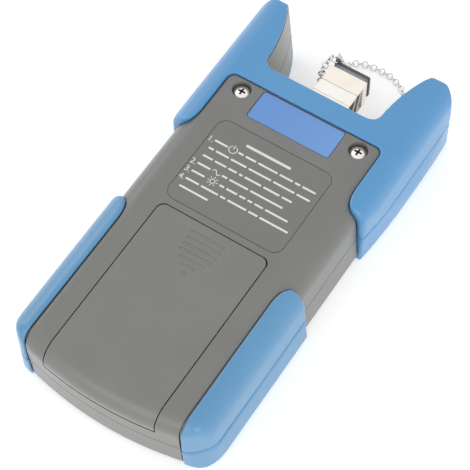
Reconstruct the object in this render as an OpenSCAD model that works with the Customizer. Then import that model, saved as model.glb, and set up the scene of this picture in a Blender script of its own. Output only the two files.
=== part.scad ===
// A handheld optical power meter that lies on its front, with its horned end towards +Y.
// The rest plane is z = 0, and +Z points out of the back of the case.

/* [Case] */
// Length of the case over the horns
case_l = 175; // [170:1:185]
// Width of the case over the guard's widest part
case_w = 87.8; // [86:0.2:90]
// Thickness of the case over the grips
case_h = 33; // [32:0.5:36]
// Height of the joint between the shells
part_z = 15; // [14.5:0.5:16]
// Thickness of the shell walls
wall = 2.2; // [2:0.1:2.6]
// Rounding of the long back edges
back_r = 9; // [8:0.5:10]
// Rounding of the long front edges
front_r = 3.2; // [2.6:0.2:4]
// How much narrower each side is at the back than at the front
side_lean = 1.5; // [1:0.1:2]
// How far the bottom end draws in towards the front
end_lean = 1.3; // [0.8:0.1:1.6]
// Radius of the bow of the bottom end
bow_r = 139; // [110:1:200]
// Rounding of the back edge of the bottom end
bottom_back_r = 7; // [5:0.5:8]
// Rounding of the upright corners at the bottom end
corner_r = 14; // [11:0.5:16]

/* [Horns] */
// Place of the wall that carries the connector
end_y = 58; // [56:0.5:60]
// Thickness of a horn where it leaves the case
horn_w = 15.8; // [14:0.1:17]
// Radius of the bow of each horn's inner side
horn_bow_r = 64; // [55:1:80]
// How much further in each horn's inner side reaches at the front than at the back
horn_lean = 3; // [2:0.2:4]
// How far the horns' tips reach past the rest of the case's ends
horn_past = 0.8; // [0:0.1:1.5]
// Rounding of each horn's outer corner
horn_r = 8; // [5:0.2:9]
// Rounding of the upper and lower edges of each horn's end
horn_edge_r = 2.6; // [2:0.2:4]
// Rounding between the horns and the wall
root_r = 3.5; // [2:0.5:5]
// Wall round the hollow of each horn
horn_wall = 2.6; // [2:0.2:3.4]

/* [Soft grips] */
// Height that the grips and the guard stand above the shells' faces and ends
proud = 1; // [0.8:0.1:1.2]
// Height of the groove along the joint of the shells
seam_h = 0.35; // [0.25:0.05:0.5]
// Depth of the groove along the joint of the shells
seam_d = 0.4; // [0.3:0.05:0.5]
// How far the lower grips stand out from the shells' sides
grip_side = 2.4; // [2:0.1:2.8]
// How far the guard stands out from the shells' sides at its widest
guard_side = 3.6; // [3:0.1:4]
// How much the bow takes off the guard's sides at their widest place
guard_cut = 0.15; // [0.1:0.05:0.3]
// Radius of the bow of the guard's sides
guard_bow_r = 300; // [250:10:600]
// Place of the guard's widest part
guard_bow_y = 58; // [45:1:62]
// Depth of the seats that the grips fill in the shells
rebate = 0.8; // [0.6:0.1:1]
// Play between a grip and the floor of its seat
seat_play = 0.05; // [0.02:0.01:0.1]
// Gap between a grip's edge and its seat
grip_gap = 0.45; // [0.3:0.05:0.6]
// Lower edge of the rim between the horns
rim_y = 49; // [48.5:0.5:50]
// Rounding of the panel's corners in the rim
panel_r = 3; // [2:0.5:4]
// Width of the back face that an arm of the guard covers
arm_w = 7.3; // [6:0.1:8.5]
// Lower end of the guard's arms
arm_end_y = 21.2; // [19:0.2:24]
// Length of the rounding at the end of each arm
arm_taper_l = 8; // [6:0.5:10]
// Width of the rounding at the end of each arm
arm_taper_w = 3.6; // [3:0.2:5]
// Width of the back face that a lower grip covers
grip_w = 8.1; // [7:0.1:9]
// Upper end of the lower grips
grip_end_y = -17.2; // [-22:0.2:-12]
// Length of the rounding at the end of each lower grip
grip_taper_l = 9; // [6:0.5:12]
// Width of the rounding at the end of each lower grip
grip_taper_w = 4.6; // [3:0.2:6]

/* [Back face] */
// Distance from the plate's ends to the screws' recesses
plate_side = 3.95; // [3.5:0.05:5]
// Height of the name plate
plate_l = 12.9; // [10:0.1:13]
// Middle of the name plate
plate_y = 41.8; // [41:0.1:42]
// Rounding of the name plate's corners
plate_r = 1.2; // [1:0.1:3]
// Thickness of the name plate
plate_t = 0.4; // [0.3:0.05:0.6]
// Depth of the name plate's recess
plate_recess = 0.6; // [0.5:0.05:0.8]
// Width of the instruction label
label_w = 48.5; // [44:0.5:52]
// Height of the instruction label
label_l = 39; // [37:0.5:40]
// Middle of the instruction label
label_y = 10.3; // [10:0.2:11]
// Rounding of the label's corners
label_r = 4; // [2:0.5:5]
// Thickness of the label
label_t = 0.3; // [0.2:0.05:0.4]
// Gap round the label and the name plate
label_gap = 0.3; // [0.15:0.05:0.4]

/* [Case screws] */
// Distance from the guard's arms in to the case screws
screw_in = 7.8; // [7:0.1:9]
// Place of the case screws along the case
screw_y = 44.2; // [43.8:0.1:44.6]
// Radius of a case screw's head
head_r = 3.05; // [2.6:0.05:3.2]
// Height of a case screw's head
head_h = 2; // [1.6:0.1:2.2]
// Radius of the bowl of a screw's head
head_bowl_r = 6; // [4:0.5:8]
// Radius of a case screw's shank
shank_r = 1.45; // [1.2:0.05:1.5]
// Radius of the recess round a screw's head
recess_r = 3.75; // [3.3:0.1:3.8]
// Depth of the recess round a screw's head
recess_d = 3; // [2.6:0.1:3.8]
// Clearance round a screw's shank
shank_gap = 0.1; // [0.05:0.05:0.2]
// Wall round a screw's hole or recess
boss_wall = 1.3; // [1:0.1:1.6]
// Width of the cross recess
cross_w = 0.8; // [0.6:0.1:1]
// Length of each bar of the cross recess
cross_l = 3; // [2.4:0.2:3.6]
// Depth of the cross recess
cross_d = 1.1; // [0.8:0.1:1.4]

/* [Battery bay] */
// Radius of a cell
cell_r = 7.1; // [6.8:0.05:7.2]
// Length of a cell's can
cell_l = 49.3; // [48:0.1:49.5]
// Radius of a cell's positive nub
nub_r = 2.75; // [2.4:0.05:3]
// Length of a cell's positive nub
nub_l = 1.2; // [1:0.1:1.4]
// Distance between the middles of two cells
cell_pitch = 15.2; // [15:0.1:15.4]
// Clearance under the cells
cell_gap = 0.15; // [0.1:0.05:0.3]
// Inner width of the bay
bay_w = 46; // [45.4:0.2:46.4]
// Lower end of the bay
bay_lo_y = -73.5; // [-74.5:0.5:-73]
// Upper end of the bay
bay_hi_y = -15.6; // [-15.8:0.1:-15]
// Height of the bay's floor
bay_floor_z = 14; // [13.6:0.1:14.2]
// Wall of the bay
bay_wall = 1.4; // [1.2:0.1:1.6]
// Width of the ledges that the door runs on
ledge_w = 1.3; // [1:0.1:1.5]
// Thickness of the ledges that the door runs on
ledge_t = 1.1; // [0.9:0.1:1.2]
// Thickness of the contact plates
contact_t = 0.4; // [0.3:0.05:0.5]
// Width of a contact plate
contact_w = 10; // [8:0.5:11]
// Height of a contact plate
contact_h = 11; // [9:0.5:12]
// Width of a contact's tail
tail_w = 2; // [1.5:0.1:2.5]
// Radius of the wire of a battery spring
spring_wire_r = 0.4; // [0.3:0.05:0.5]
// Radius of a battery spring at its plate
spring_big_r = 4.2; // [3.6:0.1:4.6]
// Radius of a battery spring at its cell
spring_small_r = 2.2; // [1.8:0.1:2.8]
// Turns of a battery spring
spring_turns = 4; // [3:1:5]

/* [Battery door] */
// Width of the door
door_w = 46.6; // [45.6:0.2:47]
// Upper edge of the door
door_y = -12.2; // [-12.6:0.1:-11.8]
// Lower edge of the door on the bottom end
door_low_z = 23.2; // [21:0.1:24]
// Thickness of the door
door_t = 2; // [1.8:0.1:2.1]
// Gap round the door
door_gap = 0.42; // [0.25:0.01:0.5]
// Gap under the door's lower edge, at the bottom end
door_low_gap = 0.8; // [0.4:0.1:1.2]
// Rounding of the door's upper corners
door_r = 3; // [2:0.5:4]
// Running clearance between the door's hooks and their ledges
hook_gap = 0.25; // [0.2:0.05:0.35]
// Thickness of a hook
hook_t = 0.9; // [0.8:0.1:1]
// Length of a hook
hook_l = 8; // [6:0.5:10]
// Width of a hook's foot
hook_foot_w = 1.2; // [1:0.1:1.3]
// Distance between two hooks
hook_pitch = 19; // [17:0.5:20]
// Place of the hooks nearest the upper edge
hook_first_y = -25; // [-27:0.5:-24]
// Half of the width of the tongue under the upper edge
tongue_half_w = 8; // [6:0.5:10]
// How far the tongue reaches under the shell
tongue_l = 1.8; // [1.4:0.1:2.2]
// Thickness of the foam pad
pad_t = 1.3; // [1:0.1:1.35]
// Width of the foam pad
pad_w = 39; // [34:0.5:40]
// Length of the foam pad
pad_l = 46; // [40:1:50]
// Number of grip grooves in the door
groove_n = 7; // [5:1:9]
// Width of the longest groove
groove_long = 14.2; // [12:0.2:16]
// Place of the uppermost groove
groove_y = -17.05; // [-18:0.05:-16]
// Length over which the grooves narrow to a tip
groove_taper = 9; // [7:0.5:11]
// Distance between two grooves
groove_pitch = 2.6; // [2:0.05:3]
// Width of a groove
groove_w = 1.3; // [0.6:0.05:1.5]
// Depth of a groove
groove_d = 0.2; // [0.15:0.05:0.5]

/* [Front face] */
// Distance from the overlay's sides to the guard's arms
overlay_side = 3; // [2:0.1:4]
// Lower edge of the overlay sheet
overlay_lo_y = -56; // [-60:0.5:-54]
// Upper edge of the overlay sheet
overlay_hi_y = 46; // [45:0.5:47]
// Thickness of the overlay sheet
overlay_t = 0.4; // [0.3:0.05:0.5]
// Depth of the overlay's recess
overlay_recess = 0.6; // [0.5:0.05:0.7]
// Rounding of the overlay's corners
overlay_r = 5; // [3:0.5:7]

/* [Display] */
// Middle of the display
lcd_y = 22.5; // [22:0.1:22.5]
// Width of the display's view
view_w = 50; // [48:0.5:50]
// Height of the display's view
view_l = 30; // [28:0.5:30]
// Border of the window that its seat holds
window_rim = 1.7; // [1.4:0.1:2]
// Thickness of the window
window_t = 1.2; // [0.9:0.1:1.2]
// Border of the display's glass
glass_rim = 1; // [0.8:0.1:1.2]
// Thickness of the display's glass
glass_t = 2.4; // [2:0.1:2.4]
// Border of the display's frame
frame_rim = 3; // [2.6:0.1:3]
// Thickness of the frame's front lip
frame_lip = 0.7; // [0.6:0.1:0.8]
// Thickness of the backlight panel
backlight_t = 1; // [0.8:0.1:1.2]

/* [Keys] */
// Half of the distance between the two columns of keys
key_x = 15; // [14:0.5:17]
// Upper row of keys
key_hi_y = -9; // [-11:0.5:-8]
// Lower row of keys
key_lo_y = -33; // [-36:0.5:-30]
// Radius of a key
key_r = 6; // [5:0.25:6.5]
// How far a key stands out of the overlay
key_stand = 0.7; // [0.5:0.05:0.8]
// Travel of a key
key_travel = 0.8; // [0.6:0.05:0.9]
// Clearance round a key
key_gap = 0.3; // [0.25:0.05:0.35]
// Width of a key's flange behind the shell
key_flange_w = 1.4; // [1.2:0.1:1.6]
// Thickness of a key's flange
key_flange_t = 1; // [0.8:0.1:1.2]
// Radius of a key's contact pill
pill_r = 2.2; // [1.8:0.1:2.6]
// Thickness of the keypad web
web_t = 1; // [0.8:0.1:1.2]
// Border of the keypad web round its keys
web_rim = 6; // [5:0.5:7]
// Radius of the posts of the keypad web
web_post_r = 1.8; // [1.4:0.1:2.2]

/* [Circuit board] */
// Clearance between the board and the side walls
board_side = 3.1; // [2.5:0.1:4]
// Lower end of the board
board_lo_y = -68; // [-69:0.5:-66]
// Upper end of the board
board_hi_y = 54; // [53.5:0.5:54.5]
// Thickness of the board
board_t = 1.6; // [1.4:0.1:1.8]
// Height of the board's front side
board_z = 8; // [7.8:0.1:8.2]
// Clearance beside the flange screws in the board's notch
notch_side = 0.6; // [0.4:0.1:1]
// Lower edge of the notch for the detector
notch_y = 41.5; // [41.2:0.1:42]
// Distance from the board's sides in to its screws
post_in = 3.5; // [3:0.1:4]
// Upper row of board screws
post_hi_y = 50.5; // [50:0.5:51]
// Lower row of board screws
post_lo_y = -63; // [-64:0.5:-60]
// Radius of a board screw's shank
post_screw_r = 0.9; // [0.8:0.05:1]
// Radius of a board screw's head
post_head_r = 2; // [1.8:0.1:2.2]
// Height of a board screw's head
post_head_h = 1.3; // [1:0.1:1.5]
// Depth of a board screw in its post
post_screw_l = 3.6; // [3:0.1:4]
// Width of the main chip
chip_w = 12; // [10:0.5:14]
// Height of the main chip
chip_h = 1.6; // [1.2:0.1:2]
// Width of the converter chip
adc_w = 6; // [5:0.5:8]
// Distance from the board's side in to the buzzer
buzzer_in = 11; // [9:0.5:13]
// Radius of the buzzer
buzzer_r = 4.5; // [4:0.25:6]
// Height of the buzzer
buzzer_h = 2.4; // [2:0.1:2.6]

/* [Connector] */
// Height of the connector's axis
axis_z = 11.5; // [11.2:0.1:12]
// Width of the connector's metal body
con_w = 16; // [15.4:0.2:16.6]
// Height of the connector's metal body
con_h = 12.6; // [12.2:0.2:13]
// Place of the line between its two sections
con_split_y = 73.5; // [72.5:0.1:74]
// Place of the groove near the case wall
neck_y = 67.7; // [67:0.1:68.5]
// Outer end of the metal body
con_end_y = 81; // [80.5:0.1:82]
// Width of the grooves round the metal body
con_groove_w = 0.3; // [0.2:0.05:0.4]
// Depth of the grooves round the metal body
con_groove_d = 0.4; // [0.3:0.05:0.6]
// Clearance round the connector in the case wall
con_gap = 0.3; // [0.2:0.05:0.4]
// Wall of the connector's metal body
con_wall = 1.8; // [1.6:0.1:1.8]
// Thickness of the flange inside the case wall
flange_t = 1.5; // [1.2:0.1:1.8]
// How far the flange reaches beyond the body at each side
flange_rim = 6; // [5:0.5:6.5]
// Distance from the middle line to each flange screw
flange_screw_x = 11.4; // [11:0.1:11.8]
// Height of the flange screws
flange_screw_z = 9; // [8.5:0.1:10]
// Radius of a flange screw's shank
flange_screw_r = 0.8; // [0.7:0.05:0.9]
// Depth of a flange screw in the case wall
flange_screw_l = 1.6; // [1.4:0.1:1.8]
// Radius of a flange screw's head
flange_head_r = 1.6; // [1.4:0.1:1.8]
// Height of a flange screw's head
flange_head_h = 1; // [0.8:0.1:1.2]
// Inner end of the connector's socket
socket_y = 64; // [63:0.5:65]
// Width of the socket
socket_w = 9.1; // [9:0.05:9.2]
// Height of the socket
socket_h = 7.5; // [7.4:0.05:7.6]
// Inner end of the liner
liner_y = 59; // [58.5:0.5:60]
// Inner radius of the ferrule sleeve
sleeve_in_r = 1.25; // [1.25:0.01:1.26]
// Outer radius of the ferrule sleeve
sleeve_out_r = 1.65; // [1.55:0.05:1.75]
// Length of the ferrule sleeve
sleeve_l = 11.4; // [10:0.1:12]
// Wall of the tube that holds the sleeve
holder_wall = 0.85; // [0.7:0.05:1]
// Clearance round the sleeve
sleeve_gap = 0.08; // [0.05:0.01:0.1]
// Length of the clip in each side of the body, which holds both sections
clip_l = 13; // [11:0.5:14]
// Height of the clip in each side of the body
clip_h = 11; // [10:0.2:11.4]
// Outer end of the clip
clip_end_y = 77.8; // [77:0.1:78.5]
// Depth of the clip's recess
clip_recess = 1.1; // [0.9:0.1:1.2]
// Thickness of the clip
clip_t = 0.35; // [0.3:0.05:0.5]
// Width of the clip's frame
clip_rim = 0.6; // [0.4:0.1:1]
// Thickness of the clip's legs
clip_leg_t = 0.9; // [0.6:0.05:1]
// Distance between the clip's legs
clip_pitch = 4; // [3:0.2:5]
// How far each leg leans along the connector
clip_lean = 3.2; // [2:0.2:4]
// Width of each leg of the clip
clip_leg_w = 1.1; // [0.8:0.1:1.4]

/* [Detector] */
// Radius of the photodiode's can
can_r = 2.35; // [2.2:0.05:2.4]
// Length of the photodiode's can
can_l = 3.6; // [3.2:0.1:4]
// Radius of the can's header
header_r = 2.75; // [2.6:0.05:2.9]
// Thickness of the can's header
header_t = 0.6; // [0.5:0.05:0.8]
// Radius of the can's leads
lead_r = 0.25; // [0.2:0.05:0.3]
// Distance from the axis to each lead
lead_pitch_r = 1.27; // [1.2:0.01:1.3]
// Outer radius of the holder ring
ring_out_r = 4.4; // [4:0.1:5]
// Thickness of the detector's board
det_board_t = 1; // [0.8:0.1:1.2]
// Width of the detector's board
det_board_w = 18; // [16:0.5:20]
// Height of the detector's board
det_board_h = 10; // [9:0.5:11]

/* [Dust cap] */
// Width of the cap's plate
cap_w = 15.4; // [15:0.1:15.8]
// Height of the cap's plate
cap_h = 11.6; // [11:0.2:12]
// Thickness of the cap's plate
cap_t = 1.1; // [0.9:0.1:1.4]
// Length of the collar between the cap's plate and the connector
collar_t = 1.8; // [1.4:0.1:2.2]
// How much the plate stands out round the collar
collar_in = 0.3; // [0.2:0.05:0.5]
// Gap between the cap's collar and the connector
cap_gap = 0.2; // [0.15:0.05:0.3]
// Clearance round the cap's plug
plug_gap = 0.15; // [0.1:0.05:0.2]
// Length of the cap's plug
plug_l = 6.6; // [5:0.2:6.8]
// Rounding of the cap's edges
cap_r = 0.8; // [0.5:0.1:1]
// Distance from the middle line to the cap's ear
ear_x = 6.3; // [6:0.1:6.6]
// Radius of the cap's ear
ear_r = 1.2; // [1.1:0.05:1.4]
// Thickness of the cap's ear
ear_t = 0.9; // [0.7:0.1:1.1]
// Radius of the hole in the cap's ear
ear_hole_r = 0.52; // [0.45:0.01:0.6]
// Radius of the ring's middle line
ring_r = 1.35; // [1.3:0.05:1.6]
// Gap between the ring and the connector's top
ring_lift = 0.2; // [0.15:0.05:0.4]
// Radius of the ring's wire
ring_wire_r = 0.26; // [0.24:0.02:0.3]

/* [Chain] */
// Radius of a link's middle line
link_r = 1.25; // [1.15:0.05:1.3]
// Radius of a link's wire
link_wire_r = 0.26; // [0.22:0.02:0.28]
// Play between two links
link_play = 0.12; // [0.08:0.02:0.2]

/* [Hidden] */
$fn = 64;
// Sides of the long bow, which is a large circle
bow_fn = 360;
// Length by which a cut runs past what it cuts
over = 1;
// Distance that reaches past the whole case
span = case_l + case_w;

SHELL_GREY = "#858481";
DOOR_GREY = "#8A898A";
GRIP_BLUE = "#5F9FD2";
PLATE_BLUE = "#6A8FE0";
NICKEL = "#D9D4C8";
CAP_GREY = "#55555B";
BOARD_GREEN = "#2E6B45";
BLACK = "#26272B";
WHITE = "#E8E6E0";
STEEL = "#B9BBBE";
COPPER = "#C9A25A";
CELL_GOLD = "#4C4F56";
CLEAR = "#C8D6DC";

// The shells' core: its half width, front and back planes and ends
half_w = case_w / 2 - guard_side;
core_lo = proud;
core_hi = case_h - proud;
horn_end = case_l / 2 - proud + horn_past;
horn_in = half_w - horn_w;
arm_x = half_w - arm_w;
grip_x = half_w - grip_w;
screw_x = arm_x - screw_in;
plate_w = 2 * (screw_x - recess_r - plate_side);
overlay_w = 2 * (arm_x - overlay_side);
board_w = 2 * (half_w - wall - board_side);
post_x = board_w / 2 - post_in;
notch_half_w = flange_screw_x + flange_head_r + notch_side;
bow_y = bow_r - case_l / 2;
// Middle of each upright corner, tangent to the side and to the bow, where the ends grow
// by g and the sides by s
corner_cx = half_w - corner_r;
function corner_cy(g, s) = bow_y - sqrt(pow(bow_r + g - corner_r - s, 2) - pow(corner_cx, 2));
wall_in_y = end_y - wall;

// Points of a quarter ellipse from its left side, down or up to its middle
taper_step = 10;
function taper(cx, cy, rx, ry) =
    [for (a = [0:taper_step:90]) [cx - rx * cos(a), cy - ry * sin(a)]];

// Everything is drawn about the middle of the case and then put in the part's frame
module in_frame() {
    translate([0, frame_y, 0]) children();
}

// A rectangle about the origin with rounded corners
module rounded(w, l, r) {
    square([w - 2 * r, l], center = true);
    square([w, l - 2 * r], center = true);
    for (sx = [-1, 1], sy = [-1, 1])
        translate([sx * (w / 2 - r), sy * (l / 2 - r)]) circle(r);
}

// A flat drawing in x and z, run along y from y0 to y1
module along_y(y0, y1) {
    translate([0, y1, 0]) rotate([90, 0, 0]) linear_extrude(y1 - y0) children();
}

// A round bar along y
module bar_y(x, z, r, y0, y1) {
    translate([x, y1, z]) rotate([90, 0, 0]) cylinder(h = y1 - y0, r = r);
}

// A box between two corners
module block(a, b) {
    translate(a) cube(b - a);
}

module both_sides() {
    children();
    mirror([1, 0, 0]) children();
}

// Everything above, or below, the joint between the shells
module rear_part() {
    intersection() {
        children();
        block([-span, -span, part_z], [span, span, case_h + over]);
    }
}

module front_part() {
    intersection() {
        children();
        block([-span, -span, -over], [span, span, part_z]);
    }
}

// The case's cross-section, whose faces grow by g and whose leaning sides grow by s
module section_2d(g, s) {
    hw = half_w + s;
    back_hw = hw - side_lean;
    rb = back_r + g;
    rf = front_r + g;
    lo = core_lo - g;
    hi = core_hi + g;
    polygon([[-hw, lo + rf], [hw, lo + rf], [back_hw, hi - rb], [-back_hw, hi - rb]]);
    translate([rb - back_hw, hi - rb]) square([2 * (back_hw - rb), rb]);
    translate([rf - hw, lo]) square([2 * (hw - rf), rf]);
    for (m = [-1, 1]) {
        translate([m * (back_hw - rb), hi - rb]) circle(rb);
        translate([m * (hw - rf), lo + rf]) circle(rf);
    }
}

// The case's outline seen from the back, without its horns; the bow trims its lower end
module block_2d(g, s, top_y) {
    r = corner_r + s;
    cy = corner_cy(g, s);
    far = (r + over) / (bow_r - corner_r);
    far_x = corner_cx * (1 + far);
    far_y = cy + (cy - bow_y) * far;
    translate([-half_w - s, cy]) square([2 * (half_w + s), top_y - cy]);
    polygon([[-corner_cx, cy], [-far_x, far_y], [-far_x, -span],
        [far_x, -span], [far_x, far_y], [corner_cx, cy]]);
    for (m = [-1, 1]) translate([m * corner_cx, cy]) circle(r);
}

// The right horn, before the gap between the horns is cut
module horn_2d(g, s) {
    r = horn_r + g;
    x1 = half_w + s;
    y1 = horn_end + g;
    translate([0, end_y - over]) square([x1 - r, y1 - end_y + over]);
    translate([0, end_y - over]) square([x1, y1 - r - end_y + over]);
    translate([x1 - r, y1 - r]) circle(r);
}

module plan_2d(g, s) {
    block_2d(g, s, end_y);
    both_sides() horn_2d(g, s);
}

// The gap between the horns, whose sides are bowed and lean in towards the front
module horn_gap() {
    both_sides() translate([0, 0, case_h]) rotate([0, atan2(horn_lean, case_h), 0])
        translate([0, 0, -2 * case_h]) linear_extrude(3 * case_h) difference() {
            translate([-horn_lean, end_y]) square([half_w + horn_lean, case_l]);
            translate([horn_in + horn_bow_r, end_y]) circle(horn_bow_r, $fn = bow_fn);
            difference() {
                translate([horn_in - root_r, end_y - over])
                    square([root_r + over, root_r + over]);
                translate([horn_in - root_r, end_y + root_r]) circle(root_r);
            }
        }
}

// The bowed bottom end with its rounded edges, as a wide disc
module bottom_disc(g) {
    r = bow_r + g;
    rb = bottom_back_r + g;
    rf = front_r + g;
    lo = core_lo - g;
    hi = core_hi + g;
    front = r - end_lean;
    translate([0, bow_y, 0]) rotate_extrude($fn = bow_fn) {
        polygon([[0, lo + rf], [front, lo + rf], [r, hi - rb], [0, hi - rb]]);
        translate([0, hi - rb]) square([r - rb, rb]);
        translate([0, lo]) square([front - rf, rf]);
        translate([r - rb, hi - rb]) circle(rb, $fn = 64);
        translate([front - rf, lo + rf]) circle(rf, $fn = 48);
    }
}

// The rounded upper and lower edges of the horns' ends
module horn_edges(g) {
    y1 = horn_end + g;
    r = horn_edge_r + g;
    lo = core_lo - g;
    hi = core_hi + g;
    translate([-span / 2, 0, 0]) rotate([90, 0, 90]) linear_extrude(span) {
        translate([-span, lo]) square([span + y1 - r, hi - lo]);
        translate([y1 - 2 * r, lo + r]) square([2 * r, hi - lo - 2 * r]);
        for (z = [lo + r, hi - r]) translate([y1 - r, z]) circle(r);
    }
}

// The outside of the case before the gap between the horns is cut, whose faces and ends grow
// by g and whose sides grow by s
module bulk(g, s) {
    intersection() {
        translate([0, 0, core_lo - g])
            linear_extrude(core_hi - core_lo + 2 * g) plan_2d(g, s);
        along_y(-span, span) section_2d(g, s);
        bottom_disc(g);
        horn_edges(g);
    }
}

// The outside of the case
module body(g, s) {
    difference() {
        bulk(g, s);
        horn_gap();
    }
}

// Outline of the guard round the connector end, grown by g
module top_mask_2d(g) {
    difference() {
        translate([-span / 2, arm_end_y - g]) square([span, span]);
        translate([g - arm_x, -span]) square([2 * (arm_x - g), span + rim_y - panel_r]);
        translate([panel_r - arm_x, -span]) square([2 * (arm_x - panel_r), span + rim_y - g]);
        for (s = [-1, 1])
            translate([s * (arm_x - panel_r), rim_y - panel_r]) circle(panel_r - g);
        both_sides() arm_corner_2d(g);
    }
}

// The rounding that the end of an arm lacks
module arm_corner_2d(g) {
    cx = arm_x + arm_taper_w;
    cy = arm_end_y + arm_taper_l;
    polygon(concat([[0, cy]],
        taper(cx, cy, arm_taper_w + g, arm_taper_l + g),
        [[cx, -span], [0, -span]]));
}

// Outline of the right lower grip, grown by g
module grip_mask_2d(g) {
    cx = grip_x + grip_taper_w;
    cy = grip_end_y - grip_taper_l;
    ends = taper(cx, -cy, grip_taper_w + g, grip_taper_l + g);
    polygon(concat([[grip_x - g, -span]],
        [for (p = ends) [p[0], -p[1]]],
        [[span / 2, grip_end_y + g], [span / 2, -span]]));
}

module prism() {
    translate([0, 0, -over]) linear_extrude(case_h + 2 * over) children();
}

// The seats for the grips, cut from the shells
module grip_seats() {
    difference() {
        union() {
            prism() top_mask_2d(grip_gap);
            both_sides() prism() grip_mask_2d(grip_gap);
        }
        bulk(-rebate, -rebate);
    }
}

// The shallow groove along the joint of the shells, cut from the back one
module seam() {
    difference() {
        block([-span, -span, -over], [span, span, part_z + seam_h]);
        difference() {
            bulk(-seam_d, -seam_d);
            for (x = [-seam_d, seam_d]) translate([x, 0, 0]) horn_gap();
            translate([0, -seam_d, 0]) horn_gap();
        }
    }
}

// The hollow of the case
module cavity() {
    intersection() {
        translate([0, 0, core_lo + wall])
            linear_extrude(core_hi - core_lo - 2 * wall) block_2d(-wall, -wall, wall_in_y);
        along_y(-span, span) section_2d(-wall, -wall);
        bottom_disc(-wall);
    }
}

// The hollows of the horns, open at the joint between the shells
horn_mid_y = (end_y + horn_end) / 2;
horn_tip_in = horn_in + horn_bow_r - sqrt(pow(horn_bow_r, 2) - pow(horn_end - end_y, 2));
horn_out = half_w - side_lean - horn_wall - rebate;
module horn_hollows(z0, z1) {
    both_sides() {
        block([horn_in + horn_wall, end_y + horn_wall, z0], [horn_out, horn_mid_y, z1]);
        block([horn_tip_in + horn_wall, horn_mid_y - over, z0],
            [horn_out, horn_end - horn_wall - rebate, z1]);
    }
}

// The hole in the case wall for the connector
module connector_hole() {
    translate([0, 0, axis_z]) rotate([90, 0, 0])
        linear_extrude(span, center = true)
            square([con_w + 2 * con_gap, con_h + 2 * con_gap], center = true);
}

module end_slot() {
    intersection() {
        connector_hole();
        block([-span, end_y - wall - over, 0], [span, end_y + over, case_h]);
    }
}

// The battery bay, and the door that closes it
bay_half = bay_w / 2;
ceiling_z = core_hi - wall;
ledge_z = core_hi - door_t - hook_gap;
hook_z = ledge_z - ledge_t - hook_gap;
bay_end_z = hook_z - hook_t - hook_gap;
horn_top_z = core_hi - back_r / 2;

module bay_tray() {
    difference() {
        block([-bay_half - bay_wall, bay_lo_y - bay_wall, bay_floor_z - bay_wall],
            [bay_half + bay_wall, bay_hi_y + bay_wall, ceiling_z + over]);
        block([-bay_half, bay_lo_y, bay_floor_z], [bay_half, bay_hi_y, case_h]);
        block([-bay_half, bay_lo_y - bay_wall - over, bay_end_z],
            [bay_half, bay_lo_y + over, case_h]);
        // Notch that lets the door's tongue through
        block([-tongue_half_w - door_gap, bay_hi_y - over, hook_z - hook_gap],
            [tongue_half_w + door_gap, bay_hi_y + bay_wall + over, case_h]);
        // Slots for the tails of the contacts
        for (x = [-cell_pitch, cell_pitch])
            block([x - tail_w / 2 - cell_gap, bay_hi_y - contact_t - cell_gap, 0],
                [x + tail_w / 2 + cell_gap, bay_hi_y, bay_floor_z + over]);
    }
    both_sides()
        block([bay_half - ledge_w, bay_lo_y - bay_wall, ledge_z - ledge_t],
            [bay_half + bay_wall, bay_hi_y, ledge_z]);
}

// Outline of the door's opening, shrunk by g
module door_2d(g) {
    w = door_w - 2 * g;
    top = door_y - g;
    translate([-w / 2, -span]) square([w, span + top - door_r]);
    translate([door_r - w / 2, -span]) square([w - 2 * door_r, span + top]);
    for (s = [-1, 1]) translate([s * (w / 2 - door_r), top - door_r]) circle(door_r);
}

// The opening for the door through the back wall and down the bottom end
module door_opening() {
    translate([0, 0, ledge_z]) linear_extrude(case_h) door_2d(0);
    intersection() {
        translate([0, 0, door_low_z - door_low_gap]) linear_extrude(case_h) door_2d(0);
        block([-span, -span, 0], [span, bay_lo_y - bay_wall, span]);
    }
}

boss_r = recess_r + boss_wall;
front_boss_r = shank_r + shank_gap + boss_wall + boss_wall / 2;
seat_z = core_hi - recess_d;
screw_places = [[-screw_x, screw_y], [screw_x, screw_y]];
screw_low_z = board_z;

module rear_shell() {
    in_frame() color(SHELL_GREY) rear_shell_solid();
}

module rear_shell_solid() {
    difference() {
        union() {
            rear_part() difference() {
                body(0, 0);
                grip_seats();
                seam();
                cavity();
                horn_hollows(0, horn_top_z);
            }
            bay_tray();
            for (p = screw_places)
                translate([p[0], p[1], part_z]) cylinder(h = ceiling_z - part_z + over, r = boss_r);
        }
        door_opening();
        end_slot();
        for (p = screw_places) translate([p[0], p[1], 0]) {
            translate([0, 0, seat_z]) cylinder(h = span, r = recess_r);
            cylinder(h = span, r = shank_r + shank_gap);
        }
        translate([0, plate_y, core_hi - plate_recess]) linear_extrude(span)
            rounded(plate_w + 2 * label_gap, plate_l + 2 * label_gap, plate_r + label_gap);
        translate([0, label_y, core_hi - label_t]) linear_extrude(span)
            rounded(label_w + 2 * label_gap, label_l + 2 * label_gap, label_r + label_gap);
    }
}

// Places of the board's posts and of the keys
post_places = [for (x = [-post_x, post_x], y = [post_lo_y, post_hi_y]) [x, y]];
floor_z = core_lo + wall;
post_r = post_screw_r + shank_gap + boss_wall;
overlay_l = overlay_hi_y - overlay_lo_y;
overlay_y = (overlay_hi_y + overlay_lo_y) / 2;
overlay_z = core_lo + overlay_recess;
key_places = [for (y = [key_hi_y, key_lo_y], x = [-key_x, key_x]) [x, y]];

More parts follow.
